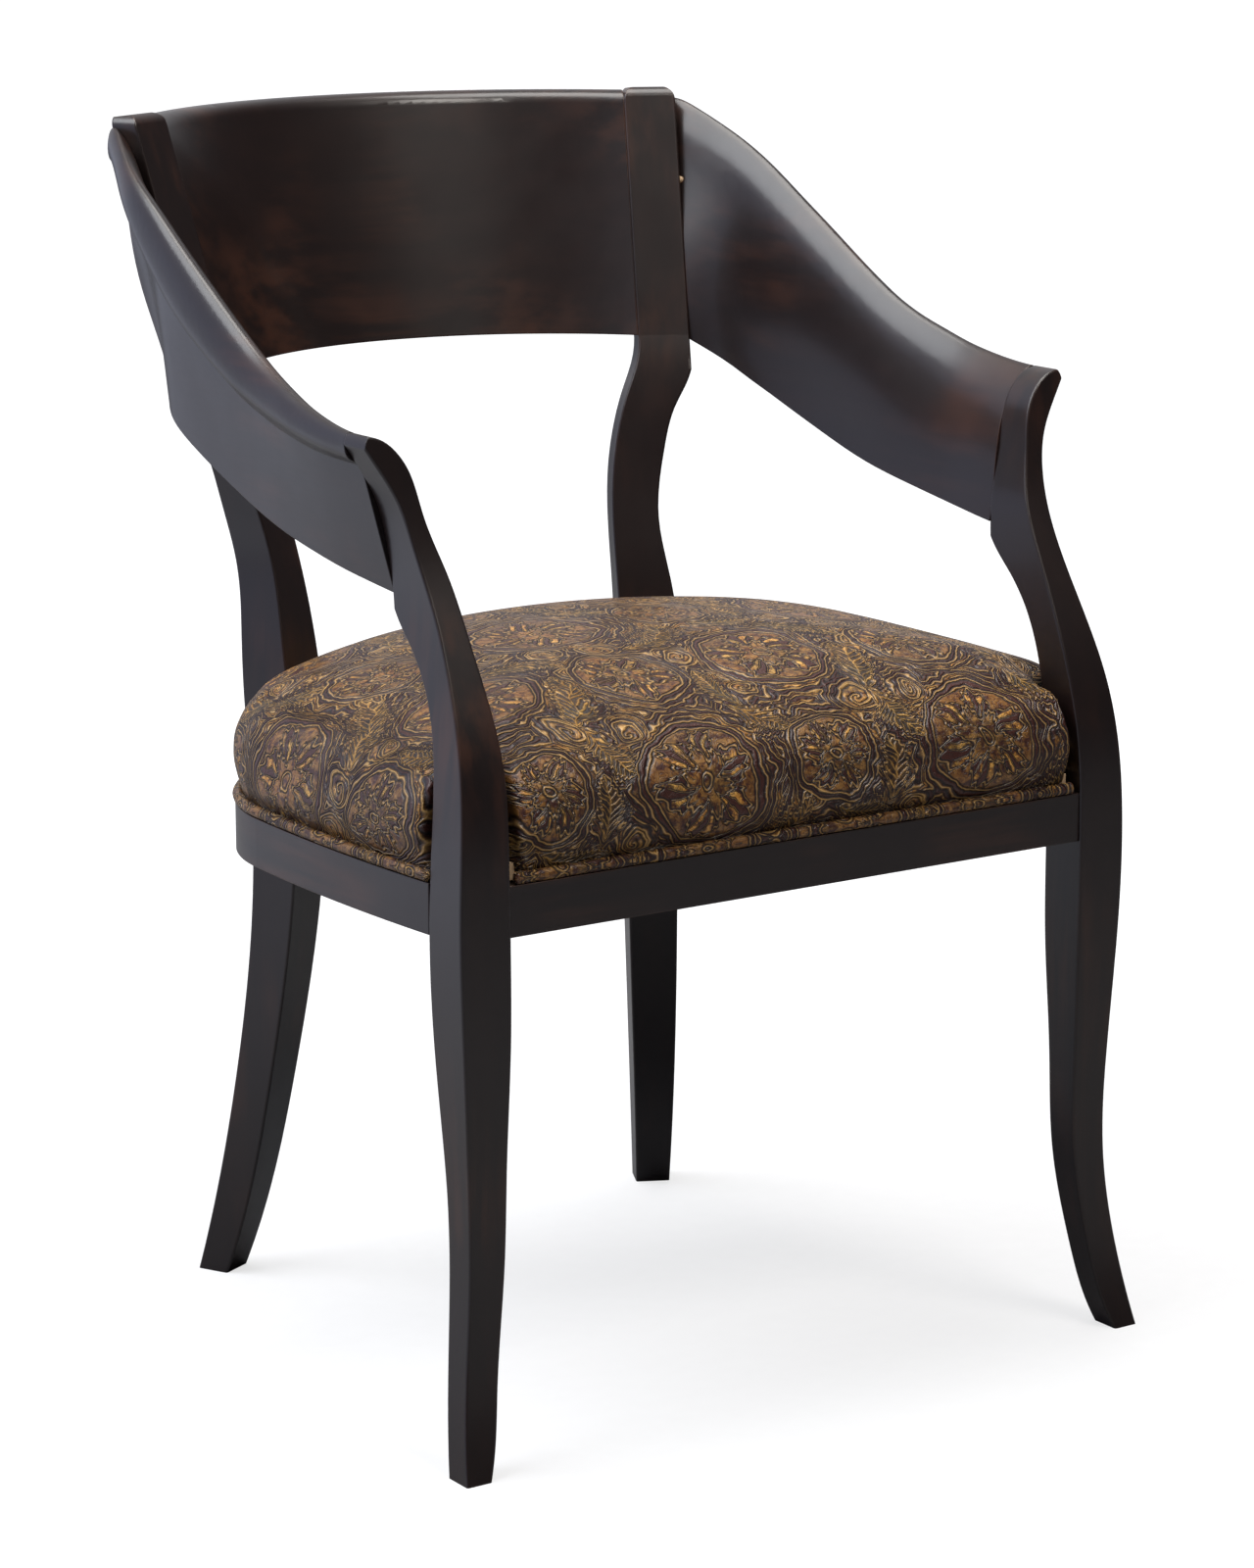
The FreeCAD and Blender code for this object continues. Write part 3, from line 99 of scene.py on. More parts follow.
class Tree:
    """Adds nodes to a tree; values are sockets or plain numbers."""

    def __init__(self, tree):
        self.tree = tree

    def new(self, kind, **settings):
        made = self.tree.nodes.new(kind)
        for key, value in settings.items():
            setattr(made, key, value)
        return made

    def put(self, socket, value):
        if isinstance(value, bpy.types.NodeSocket):
            self.tree.links.new(value, socket)
        else:
            socket.default_value = value

    def math(self, operation, *values):
        made = self.new("ShaderNodeMath", operation=operation)
        for socket, value in zip(made.inputs, values):
            self.put(socket, value)
        return made.outputs[0]

    def add(self, *values):
        total = values[0]
        for value in values[1:]:
            total = self.math("ADD", total, value)
        return total

    def sub(self, a, b):
        return self.math("SUBTRACT", a, b)

    def mul(self, *values):
        total = values[0]
        for value in values[1:]:
            total = self.math("MULTIPLY", total, value)
        return total

    def least(self, *values):
        total = values[0]
        for value in values[1:]:
            total = self.math("MINIMUM", total, value)
        return total

    def most(self, *values):
        total = values[0]
        for value in values[1:]:
            total = self.math("MAXIMUM", total, value)
        return total

    def size(self, value):
        return self.math("ABSOLUTE", value)

    def bell(self, distance, width):
        """One at zero distance, falling smoothly to nothing."""
        ratio = self.math("DIVIDE", distance, width)
        return self.math("POWER", math.e, self.mul(ratio, ratio, -1.0))

    def step(self, value, low, high):
        """Smooth rise from 0 at low to 1 at high."""
        made = self.new("ShaderNodeMapRange", interpolation_type="SMOOTHSTEP")
        self.put(made.inputs["Value"], value)
        self.put(made.inputs["From Min"], low)
        self.put(made.inputs["From Max"], high)
        return made.outputs[0]

    def blend(self, share, a, b):
        made = self.new("ShaderNodeMix", data_type="RGBA")
        self.put(made.inputs["Factor"], share)
        for name, value in (("A", a), ("B", b)):
            socket = [s for s in made.inputs if s.name == name and s.type == "RGBA"][0]
            self.put(socket, value if not isinstance(value, tuple) else (*value, 1.0))
        return [s for s in made.outputs if s.type == "RGBA"][0]

    def noise(self, place, scale, detail=3.0, rough=0.5):
        made = self.new("ShaderNodeTexNoise")
        self.put(made.inputs["Vector"], place)
        made.inputs["Scale"].default_value = scale
        made.inputs["Detail"].default_value = detail
        made.inputs["Roughness"].default_value = rough
        return made

    def stretched(self, place, scale):
        made = self.new("ShaderNodeMapping")
        self.put(made.inputs["Vector"], place)
        made.inputs["Scale"].default_value = scale
        return made.outputs[0]

    def split(self, vector):
        made = self.new("ShaderNodeSeparateXYZ")
        self.put(made.inputs[0], vector)
        return made.outputs

    def bump(self, height, distance, strength=1.0, normal=None):
        made = self.new("ShaderNodeBump")
        made.inputs["Strength"].default_value = strength
        made.inputs["Distance"].default_value = distance
        self.put(made.inputs["Height"], height)
        if normal is not None:
            self.put(made.inputs["Normal"], normal)
        return made.outputs[0]


def new_material(name):
    material = bpy.data.materials.new(name)
    material.use_nodes = True
    tree = Tree(material.node_tree)
    shader = [n for n in material.node_tree.nodes if n.type == "BSDF_PRINCIPLED"][0]
    return material, tree, shader


def object_place(tree):
    return tree.new("ShaderNodeTexCoord").outputs["Object"]


# Wood


def espresso_wood(name, grain):
    """Near-black stained wood; grain is the piece's long direction, 0 to 2."""
    material, t, shader = new_material(name)
    place = object_place(t)
    scale = [1.0, 1.0, 1.0]
    scale[grain] = 0.07
    fibres = t.noise(t.stretched(place, scale), 420.0, 4.0, 0.6).outputs["Fac"]
    figure = t.noise(t.stretched(place, scale), 60.0, 5.0, 0.55).outputs["Fac"]
    cloud = t.noise(place, 7.0, 3.0, 0.55).outputs["Fac"]
    rubbed = t.mul(t.step(cloud, 0.44, 0.72), t.step(figure, 0.38, 0.66))
    rounded = t.new("ShaderNodeBevel", samples=6)
    rounded.inputs["Radius"].default_value = 0.0016
    flat = t.new("ShaderNodeNewGeometry").outputs["Normal"]
    facing = t.new("ShaderNodeVectorMath", operation="DOT_PRODUCT")
    t.put(facing.inputs[0], rounded.outputs[0])
    t.put(facing.inputs[1], flat)
    edge = t.mul(t.step(facing.outputs["Value"], 0.995, 0.90), t.step(cloud, 0.35, 0.65))
    dark = t.blend(figure, (0.0060, 0.0034, 0.0034), (0.0135, 0.0066, 0.0056))
    brown = t.blend(t.mul(rubbed, 0.62), dark, (0.050, 0.019, 0.011))
    worn = t.blend(t.mul(edge, 0.6), brown, (0.085, 0.034, 0.017))
    t.put(shader.inputs["Base Color"], worn)
    smears = t.noise(place, 22.0, 4.0, 0.6).outputs["Fac"]
    gloss = t.add(0.275, t.mul(smears, 0.12), t.mul(fibres, 0.05))
    t.put(shader.inputs["Roughness"], gloss)
    shader.inputs["Specular IOR Level"].default_value = 0.36
    shader.inputs["Coat Weight"].default_value = 0.22
    shader.inputs["Coat Roughness"].default_value = 0.16
    relief = t.add(t.mul(fibres, 0.6), t.mul(figure, 0.4))
    waves = t.noise(place, 16.0, 2.0, 0.5).outputs["Fac"]
    normal = t.bump(waves, 0.0006, 0.35, rounded.outputs[0])
    t.put(shader.inputs["Normal"], t.bump(relief, 0.00005, 0.5, normal))
    return material


def bare_wood(name):
    material, t, shader = new_material(name)
    place = object_place(t)
    rings = t.noise(t.stretched(place, (1.0, 0.12, 1.0)), 130.0, 4.0, 0.6).outputs["Fac"]
    pores = t.noise(t.stretched(place, (1.0, 0.05, 1.0)), 900.0, 2.0).outputs["Fac"]
    colour = t.blend(rings, (0.42, 0.27, 0.15), (0.62, 0.45, 0.28))
    t.put(shader.inputs["Base Color"], t.blend(t.mul(pores, 0.35), colour, (0.3, 0.18, 0.1)))
    shader.inputs["Roughness"].default_value = 0.72
    t.put(shader.inputs["Normal"], t.bump(pores, 0.0002, 0.5))
    return material


def black_cloth(name):
    material, t, shader = new_material(name)
    place = object_place(t)
    felt = t.noise(place, 900.0, 3.0, 0.7).outputs["Fac"]
    t.put(shader.inputs["Base Color"], t.blend(felt, (0.010, 0.010, 0.011), (0.035, 0.035, 0.037)))
    shader.inputs["Roughness"].default_value = 0.95
    t.put(shader.inputs["Normal"], t.bump(felt, 0.0003, 0.8))
    return material


def foam_stuff(name):
    material, t, shader = new_material(name)
    cells = t.noise(object_place(t), 1400.0, 2.0, 0.6).outputs["Fac"]
    t.put(shader.inputs["Base Color"], t.blend(cells, (0.66, 0.6, 0.38), (0.82, 0.76, 0.55)))
    shader.inputs["Roughness"].default_value = 0.9
    t.put(shader.inputs["Normal"], t.bump(cells, 0.0004, 0.6))
    return material


def plated_steel(name):
    material, t, shader = new_material(name)
    spangle = t.noise(object_place(t), 800.0, 2.0).outputs["Fac"]
    t.put(shader.inputs["Base Color"], t.blend(spangle, (0.48, 0.48, 0.45), (0.68, 0.67, 0.62)))
    shader.inputs["Metallic"].default_value = 1.0
    t.put(shader.inputs["Roughness"], t.add(0.28, t.mul(spangle, 0.15)))
    return material


# Embossed leather. The ornament is drawn by arithmetic in one repeating tile, in
# millimetres: frilled flowers in rings, feathered leaves and small scrolls, with
# the ground between them filled by lines that echo their outlines.

TILE = 204.0
PATTERN = 0.86
VEIN_PITCH = 4.6
ECHO_PITCH = 4.6
LINE_HIDDEN = 6.0
LINE_COVERED = 30.0
NOTHING_NEAR = 50.0


def group_tree(name, inputs, outputs):
    tree = bpy.data.node_groups.new(name, "ShaderNodeTree")
    for label, kind in inputs:
        tree.interface.new_socket(label, in_out="INPUT", socket_type=kind)
    for label, kind in outputs:
        tree.interface.new_socket(label, in_out="OUTPUT", socket_type=kind)
    t = Tree(tree)
    return tree, t, t.new("NodeGroupInput").outputs, t.new("NodeGroupOutput").inputs


FLOAT = "NodeSocketFloat"
VECTOR = "NodeSocketVector"
OFFSET = [("U", FLOAT), ("V", FLOAT)]
MOTIF_OUTPUTS = [("Line", FLOAT), ("Outside", FLOAT), ("Gold", FLOAT)]


def chosen(t, condition, new, old):
    """The new value where the condition holds, otherwise the old one."""
    made = t.new("ShaderNodeMix", data_type="FLOAT")
    t.put(made.inputs["Factor"], condition)
    for name, value in (("A", old), ("B", new)):
        socket = [i for i in made.inputs if i.name == name and i.type == "VALUE"][0]
        t.put(socket, value)
    return [o for o in made.outputs if o.type == "VALUE"][0]


def nearest_copy(t, place, copies, stretch):
    """Offset from the nearest of several copies, and that copy's own values.

    A stretch below one lengthens a motif's reach and narrows it across."""
    across, along, _ = t.split(place)
    best = None
    for x, y, turn, size, *rest in copies:
        dx = t.math("WRAP", t.sub(across, x), TILE / 2, -TILE / 2)
        dy = t.math("WRAP", t.sub(along, y), TILE / 2, -TILE / 2)
        cosine, sine = math.cos(turn) * stretch, math.sin(turn) * stretch
        u = t.add(t.mul(dx, cosine), t.mul(dy, sine))
        v = t.sub(t.mul(dy, cosine), t.mul(dx, sine))
        far = t.add(t.mul(u, u), t.mul(v, v, stretch**-4))
        far = t.math("DIVIDE", far, size**2)
        found = [far, u, v, size, *rest]
        if best is None:
            best = found
            continue
        closer = t.math("LESS_THAN", far, best[0])
        best = [chosen(t, closer, new, old) for new, old in zip(found, best)]
    _, u, v, *own = best
    return [t.math("DIVIDE", value, stretch) for value in (u, v)] + own


def kept_in(t, line, share):
    """Distance to a line, made large where the share falls to nothing."""
    return t.add(line, t.mul(t.sub(1.0, share), LINE_HIDDEN))


def warped(t, place, scale, reach):
    """A place moved by noise in x and y, by anything up to the reach."""
    moved = t.new("ShaderNodeVectorMath", operation="MULTIPLY_ADD")
    t.put(moved.inputs[0], t.noise(place, scale, 2.0).outputs["Color"])
    moved.inputs[1].default_value = (reach, reach, 0.0)
    t.put(moved.inputs[2], place)
    return moved.outputs[0]


def flower_group():
    tree, t, given, result = group_tree(
        "flower", OFFSET + [("Radius", FLOAT), ("Petals", FLOAT)], MOTIF_OUTPUTS
    )
    x, y = given["U"], given["V"]
    radius = given["Radius"]
    reach = t.math("SQRT", t.add(t.mul(x, x), t.mul(t.mul(y, y), 1.12)))
    angle = t.math("ARCTAN2", y, x)
    half = t.mul(angle, given["Petals"], 0.5)
    petal = t.size(t.math("COSINE", half))
    frill = t.math("COSINE", t.mul(half, 10.0))
    lobe = t.math("POWER", petal, 0.70)
    outer = t.mul(radius, t.add(0.34, t.mul(lobe, 0.45), t.mul(frill, 0.045)))
    inner = t.mul(
        radius,
        t.add(0.20, t.mul(t.size(t.math("SINE", half)), 0.24), t.mul(frill, 0.022)),
    )
    ring = t.size(t.sub(reach, radius))
    inner_ring = t.mul(radius, 0.87)
    ring_in = t.size(t.sub(reach, inner_ring))
    petals = t.mul(t.size(t.sub(reach, outer)), 0.75)
    heart = t.mul(t.size(t.sub(reach, inner)), 0.75)
    boss = t.size(t.sub(reach, t.mul(radius, 0.10)))
    curl = t.add(t.mul(half, 6.0), t.mul(reach, 0.16))
    vein = t.mul(t.size(t.math("SINE", curl)), reach, 0.16)
    in_petal = t.step(t.sub(outer, reach), 1.5, 5.0)
    past_heart = t.step(t.sub(reach, inner), 1.0, 3.0)
    vein_line = kept_in(t, vein, t.mul(in_petal, past_heart))
    t.put(result["Line"], t.least(ring, ring_in, petals, heart, boss, vein_line))
    t.put(result["Outside"], t.sub(reach, radius))
    open_ground = t.mul(
        t.step(t.sub(reach, outer), -0.5, 1.0),
        t.step(t.sub(inner_ring, reach), -0.5, 1.0),
    )
    petal_gold = t.mul(t.mul(in_petal, past_heart), t.step(t.math("SINE", curl), 0.1, 0.7), 0.8)
    heart_gold = t.mul(t.step(t.sub(inner, reach), 0.5, 2.0), 0.35)
    t.put(result["Gold"], t.most(t.mul(open_ground, 0.28), petal_gold, heart_gold))
    return tree


def leaf_group():
    tree, t, given, result = group_tree(
        "leaf",
        OFFSET + [("Length", FLOAT), ("Width", FLOAT), ("Bend", FLOAT)],
        MOTIF_OUTPUTS,
    )
    x, y = given["U"], given["V"]
    bent = t.sub(y, t.mul(given["Bend"], x, x))
    beside = t.size(bent)
    share = t.math("DIVIDE", x, given["Length"])
    inside = t.math("COSINE", t.mul(t.least(t.size(share), 0.5), math.pi))
    form = t.math("POWER", t.most(inside, 0.0), 0.62)
    slant = t.sub(x, t.mul(beside, 1.15))
    teeth = t.math("COSINE", t.mul(slant, 2 * math.pi / VEIN_PITCH))
    width = t.mul(given["Width"], form, t.add(0.90, t.mul(teeth, 0.12)))
    edge = t.sub(beside, width)
    beyond = t.mul(t.most(t.sub(t.size(share), 0.5), 0.0), given["Length"])
    outside = t.add(edge, beyond)
    rib = t.add(beside, 0.25)
    wave = t.size(t.math("SINE", t.mul(slant, math.pi / VEIN_PITCH)))
    vein = t.add(t.mul(wave, 1.15), 0.25)
    within = t.step(outside, -0.4, -1.4)
    veins = kept_in(t, t.least(rib, vein), within)
    t.put(result["Line"], t.least(t.size(outside), veins))
    t.put(result["Outside"], outside)
    t.put(result["Gold"], within)
    return tree


def scroll_group():
    tree, t, given, result = group_tree(
        "scroll", OFFSET + [("Radius", FLOAT), ("Hand", FLOAT)], MOTIF_OUTPUTS
    )
    x, y = given["U"], given["V"]
    reach = t.math("SQRT", t.add(t.mul(x, x), t.mul(y, y)))
    angle = t.mul(t.math("ARCTAN2", y, x), given["Hand"])
    pitch = t.mul(given["Radius"], 0.62)
    spiral = t.sub(reach, t.mul(angle, pitch, 1.0 / (2 * math.pi)))
    band = t.math("WRAP", spiral, t.mul(pitch, 0.5), t.mul(pitch, -0.5))
    within = t.step(t.sub(given["Radius"], reach), -0.5, 0.5)
    coil = kept_in(t, t.size(band), within)
    t.put(result["Line"], t.least(coil, t.size(t.sub(reach, given["Radius"]))))
    t.put(result["Outside"], t.sub(reach, given["Radius"]))
    t.put(result["Gold"], t.mul(within, 0.45))
    return tree


FLOWERS = (
    # x, y, turn, radius, petals
    (48.0, 52.0, 0.3, 44.0, 5.0),
    (151.0, 150.0, 1.4, 45.0, 6.0),
    (150.0, 44.0, 2.3, 35.0, 5.0),
    (44.0, 156.0, 0.9, 33.0, 6.0),
)
LEAVES = (
    # x, y, turn, length, width, bend
    (99.0, 25.0, 1.20, 58.0, 9.5, 0.006),
    (101.0, 84.0, -0.55, 52.0, 9.0, -0.007),
    (6.0, 103.0, 0.95, 60.0, 10.0, 0.006),
    (92.0, 178.0, -1.10, 54.0, 9.0, 0.007),
    (193.0, 20.0, 1.75, 50.0, 8.5, -0.006),
    (60.0, 112.0, -0.15, 46.0, 8.5, 0.008),
    (193.0, 92.0, 0.25, 44.0, 8.0, -0.008),
    (86.0, 142.0, 1.45, 40.0, 8.0, 0.008),
    (2.0, 186.0, -0.70, 46.0, 8.0, 0.007),
)
SCROLLS = (
    # x, y, turn, radius, hand
    (128.0, 96.0, 0.4, 12.0, 1.0),
    (102.0, 116.0, 2.6, 9.0, -1.0),
    (158.0, 88.0, 4.0, 10.0, -1.0),
    (12.0, 14.0, 1.0, 9.5, 1.0),
    (76.0, 200.0, 5.0, 10.0, 1.0),
    (118.0, 56.0, 3.3, 9.0, -1.0),
    (22.0, 128.0, 0.2, 8.0, -1.0),
    (196.0, 62.0, 2.2, 9.0, 1.0),
    (112.0, 196.0, 1.6, 8.0, -1.0),
)


def ornament_group():
    """Ridge, groove, gold and fill of the ornament at a place in millimetres."""
    outputs = [("Ridge", FLOAT), ("Groove", FLOAT), ("Gold", FLOAT), ("Fill", FLOAT)]
    tree, t, given, result = group_tree("ornament", [("Place", VECTOR)], outputs)
    place = warped(t, warped(t, given["Place"], 0.016, 26.0), 0.055, 11.0)
    kinds = (
        (flower_group(), FLOWERS, 1.0),
        (leaf_group(), LEAVES[0::2], 0.62),
        (leaf_group(), LEAVES[1::2], 0.62),
        (scroll_group(), SCROLLS, 1.0),
    )
    line, outside, gold = NOTHING_NEAR, NOTHING_NEAR, 0.0
    for motif, copies, stretch in kinds:
        made = t.new("ShaderNodeGroup", node_tree=motif)
        for socket, value in zip(made.inputs, nearest_copy(t, place, copies, stretch)):
            t.put(socket, value)
        free = t.step(outside, -1.2, 0.2)
        hidden = t.mul(t.sub(1.0, free), LINE_COVERED)
        line = t.least(line, t.add(made.outputs["Line"], hidden))
        gold = t.most(gold, t.mul(made.outputs["Gold"], free))
        outside = t.least(outside, made.outputs["Outside"])
    ripple = t.noise(given["Place"], 0.05, 2.0).outputs["Fac"]
    echo = t.add(outside, t.mul(ripple, 17.0))
    echo_line = t.size(t.math("WRAP", echo, ECHO_PITCH / 2, -ECHO_PITCH / 2))
    ground = t.step(outside, 1.0, 2.6)
    every = t.least(line, kept_in(t, echo_line, ground))
    t.put(result["Ridge"], t.bell(every, 0.46))
    t.put(result["Groove"], t.bell(t.sub(every, 1.25), 0.60))
    band = t.step(t.math("SINE", t.mul(echo, math.pi / ECHO_PITCH)), -0.1, 0.5)
    patch = t.step(t.noise(given["Place"], 0.035, 2.0).outputs["Fac"], 0.44, 0.60)
    t.put(result["Gold"], t.most(gold, t.mul(ground, band, patch, 0.70)))
    t.put(result["Fill"], t.step(every, 0.6, 3.2))
    return tree


def leather(name, ornament, place):
    """Leather dyed dark in its grooves; place gives millimetres in the hide."""
    material, t, shader = new_material(name)
    where = place(t)
    made = t.new("ShaderNodeGroup", node_tree=ornament)
    t.put(made.inputs["Place"], t.stretched(where, (PATTERN, PATTERN, 1.0)))
    ridge, groove, gold, fill = made.outputs
    tone = t.noise(where, 0.03, 3.0).outputs["Fac"]
    dabs = t.noise(where, 0.16, 3.0, 0.6).outputs["Fac"]
    mottle = t.noise(where, 0.9, 3.0, 0.6).outputs["Fac"]
    maroon = t.blend(dabs, (0.022, 0.007, 0.006), (0.078, 0.025, 0.017))
    ochre = t.blend(t.step(tone, 0.42, 0.58), (0.270, 0.165, 0.038), (0.620, 0.270, 0.042))
    ochre = t.blend(t.step(dabs, 0.46, 0.68), ochre, (0.92, 0.50, 0.12))
    ochre = t.blend(t.mul(mottle, 0.45), ochre, (0.13, 0.075, 0.02))
    flow = t.noise(where, 0.060, 2.0).outputs["Fac"]
    hatch = t.step(t.math("SINE", t.mul(flow, 95.0)), 0.30, 0.95)
    ochre = t.blend(t.mul(hatch, 0.62), ochre, (0.045, 0.018, 0.010))
    body = t.blend(t.mul(gold, t.step(dabs, 0.37, 0.52)), maroon, ochre)
    lined = t.blend(t.mul(groove, 0.95), body, (0.008, 0.004, 0.004))
    # Painted highlight: the raised lines are coloured lighter, standing in for the shine along
    # each ridge.
    ridge_highlight = t.blend(tone, (0.36, 0.21, 0.08), (0.74, 0.46, 0.16))
    t.put(shader.inputs["Base Color"], t.blend(t.mul(ridge, 0.72), lined, ridge_highlight))
    pores = t.noise(where, 2.6, 3.0, 0.65).outputs["Fac"]
    gloss = t.add(0.29, t.mul(mottle, 0.14), t.mul(ridge, -0.06), t.mul(groove, 0.10))
    t.put(shader.inputs["Roughness"], gloss)
    shader.inputs["Specular IOR Level"].default_value = 0.40
    relief = t.add(
        t.mul(ridge, 0.55), t.mul(groove, -0.55), t.mul(fill, 0.18),
        t.mul(pores, 0.05), t.mul(hatch, -0.10),
    )
    t.put(shader.inputs["Normal"], t.bump(relief, 0.0015, 1.0))
    return material


def hide_place(t):
    """Place in the flat hide, kept on the cushion's points."""
    read = t.new("ShaderNodeAttribute", attribute_type="GEOMETRY")
    read.attribute_name = "hide"
    return read.outputs["Vector"]


# Seat plan, the same arcs as the rails

SEAT_FRONT = -0.3011
SEAT_BACK = 0.1469
BACK_RADIUS = 0.360
CORNER_RADIUS = 0.143
SIDE_RADIUS = 1.615
BACK_ANGLE = 40.0
SIDE_TURN = 90.0 - 3.7
CROWN_Y = -0.077


def polar(centre, radius, degrees):
    turn = math.radians(degrees)
    return np.array(
        (centre[0] + radius * math.sin(turn), centre[1] + radius * math.cos(turn))
    )


BACK_CENTRE = (0.0, SEAT_BACK - BACK_RADIUS)
CORNER_CENTRE = polar(BACK_CENTRE, BACK_RADIUS - CORNER_RADIUS, BACK_ANGLE)
SIDE_CENTRE = polar(CORNER_CENTRE, CORNER_RADIUS - SIDE_RADIUS, SIDE_TURN)
PLAN_STEPS = (34, 44, 26, 26)


def half_plan(inset):
    """Points and outward normals of the right half, from the front's middle."""
    front_y = SEAT_FRONT + inset
    side_radius = SIDE_RADIUS - inset
    start = 90.0 - math.degrees(math.asin((front_y - SIDE_CENTRE[1]) / side_radius))
    corner_x = polar(SIDE_CENTRE, side_radius, start)[0]
    rows = []
    for i in range(PLAN_STEPS[0]):
        rows.append((corner_x * i / PLAN_STEPS[0], front_y, 0.0, -1.0))
    runs = (
        (SIDE_CENTRE, side_radius, start, SIDE_TURN),
        (CORNER_CENTRE, CORNER_RADIUS - inset, SIDE_TURN, BACK_ANGLE),
        (BACK_CENTRE, BACK_RADIUS - inset, BACK_ANGLE, 0.0),
    )
    for (centre, radius, begin, end), steps in zip(runs, PLAN_STEPS[1:]):
        for i in range(steps):
            angle = begin + (end - begin) * i / steps
            x, y = polar(centre, radius, angle)
            turn = math.radians(angle)
            rows.append((x, y, math.sin(turn), math.cos(turn)))
    return rows


def plan(inset):
    """Closed outline, running once round, as rows of x, y and outward normal."""
    right = half_plan(inset)
    back_middle = (0.0, SEAT_BACK - inset, 0.0, 1.0)
    left = [(-x, y, -nx, ny) for x, y, nx, ny in reversed(right[1:])]
    return np.array(right + [back_middle] + left)


# Cushion


def mesh_object(name, points, faces):
    mesh = bpy.data.meshes.new(name)
    mesh.from_pydata([tuple(p) for p in points], [], faces)
    mesh.update()
    thing = bpy.data.objects.new(name, mesh)
    bpy.context.collection.objects.link(thing)
    return thing


SHOULDER_INSET = 0.0100
SHOULDER_HEIGHT = 0.0755
SIDE_LEVELS = (
    # inset from the rails' face, height above the rails
    (0.0040, -0.0060), (0.0040, 0.0070), (0.0000, 0.0116), (-0.0045, 0.0190),
    (-0.0076, 0.0280), (-0.0085, 0.0380), (-0.0078, 0.0480), (-0.0048, 0.0585),
    (0.0015, 0.0680), (SHOULDER_INSET, SHOULDER_HEIGHT),
)
CROWN_HEIGHT = 0.1160
DOME_SHARES = (0.965, 0.92, 0.87, 0.81, 0.74, 0.66, 0.57, 0.47, 0.36, 0.25, 0.14, 0.05)
CROWN_POWER = 2.5


def cushion_rings(draw_in):
    """Rings of the cushion's form from its foot to its crown."""
    rings = []
    for inset, height in SIDE_LEVELS:
        outline = plan(inset + draw_in)
        level = np.full(len(outline), RAIL_TOP + height)
        rings.append(np.column_stack((outline[:, :2], level)))
    shoulder = plan(SHOULDER_INSET + draw_in)[:, :2]
    rise = CROWN_HEIGHT - SHOULDER_HEIGHT
    for share in DOME_SHARES:
        height = SHOULDER_HEIGHT + rise * (1.0 - share**CROWN_POWER) - draw_in
        ring = shoulder * share
        ring[:, 1] += CROWN_Y * (1.0 - share)
        level = np.full(len(ring), RAIL_TOP + height)
        rings.append(np.column_stack((ring, level)))
    return rings


def closed_form(name, rings):
    """A closed mesh through the rings, capped at both ends."""
    count = len(rings[0])
    points = np.vstack(rings)
    faces = []
    for level in range(len(rings) - 1):
        low, high = level * count, (level + 1) * count
        for i in range(count):
            j = (i + 1) % count
            faces.append((low + i, low + j, high + j, high + i))
    faces.append(tuple(reversed(range(count))))
    last = (len(rings) - 1) * count
    faces.append(tuple(range(last, last + count)))
    return mesh_object(name, points, faces)


def wedge(name, outline, bottom, top):
    """An upright prism over a plan outline, to cut room for a leg."""
    count = len(outline)
    points = [(x, y, bottom) for x, y in outline] + [(x, y, top) for x, y in outline]
    faces = [tuple(reversed(range(count))), tuple(range(count, 2 * count))]
    for i in range(count):
        j = (i + 1) % count
        faces.append((i, j, count + j, count + i))
    return mesh_object(name, points, faces)


# The right front leg's faces beside the seat; its back face leans back as it rises
LEG_INNER = 0.2387
LEG_BACK = -0.2626
LEAN_START = 0.44
LEAN_SPAN = 0.05
LEAN_REACH = 0.0075
# The right back post's front face: its middle in plan, its splay and half its width
POST_X, POST_Y = 0.1504, 0.1085
POST_SPLAY = math.radians(-26.6)
POST_COSINE, POST_SINE = math.cos(POST_SPLAY), math.sin(POST_SPLAY)
POST_HALF = 0.0245
# How far the rooms cut for the legs run past the cushion
ROOM_REACH = 0.36
ROOM_BEHIND = 0.06
ROOM_BOTTOM, ROOM_TOP = 0.38, 0.56


def from_post(across, behind):
    """Plan place of a point given in the right back post's own axes."""
    return (
        POST_X + POST_COSINE * across - POST_SINE * behind,
        POST_Y + POST_SINE * across + POST_COSINE * behind,
    )


def to_post(x, y):
    """A plan place in the right back post's own axes, across and behind."""
    dx, dy = x - POST_X, y - POST_Y
    return POST_COSINE * dx + POST_SINE * dy, POST_COSINE * dy - POST_SINE * dx


def leg_rooms(gap):
    """Prisms where the cushion makes way for the legs, both sides."""
    inner, back = LEG_INNER - gap, LEG_BACK + gap
    leg = [
        (inner, -ROOM_REACH), (ROOM_REACH, -ROOM_REACH), (ROOM_REACH, back), (inner, back)
    ]
    half = POST_HALF + gap
    corners = ((-half, -gap), (half, -gap), (half, ROOM_BEHIND), (-half, ROOM_BEHIND))
    post = [from_post(across, behind) for across, behind in corners]
    rooms = []
    for label, outline in (("leg", leg), ("post", post)):
        rooms.append(wedge(label + "_room_right", outline, ROOM_BOTTOM, ROOM_TOP))
        flipped = [(-x, y) for x, y in reversed(outline)]
        rooms.append(wedge(label + "_room_left", flipped, ROOM_BOTTOM, ROOM_TOP))
    return rooms


def apply_modifiers(thing):
    graph = bpy.context.evaluated_depsgraph_get()
    mesh = bpy.data.meshes.new_from_object(thing.evaluated_get(graph))
    thing.modifiers.clear()
    old = thing.data
    thing.data = mesh
    bpy.data.meshes.remove(old)


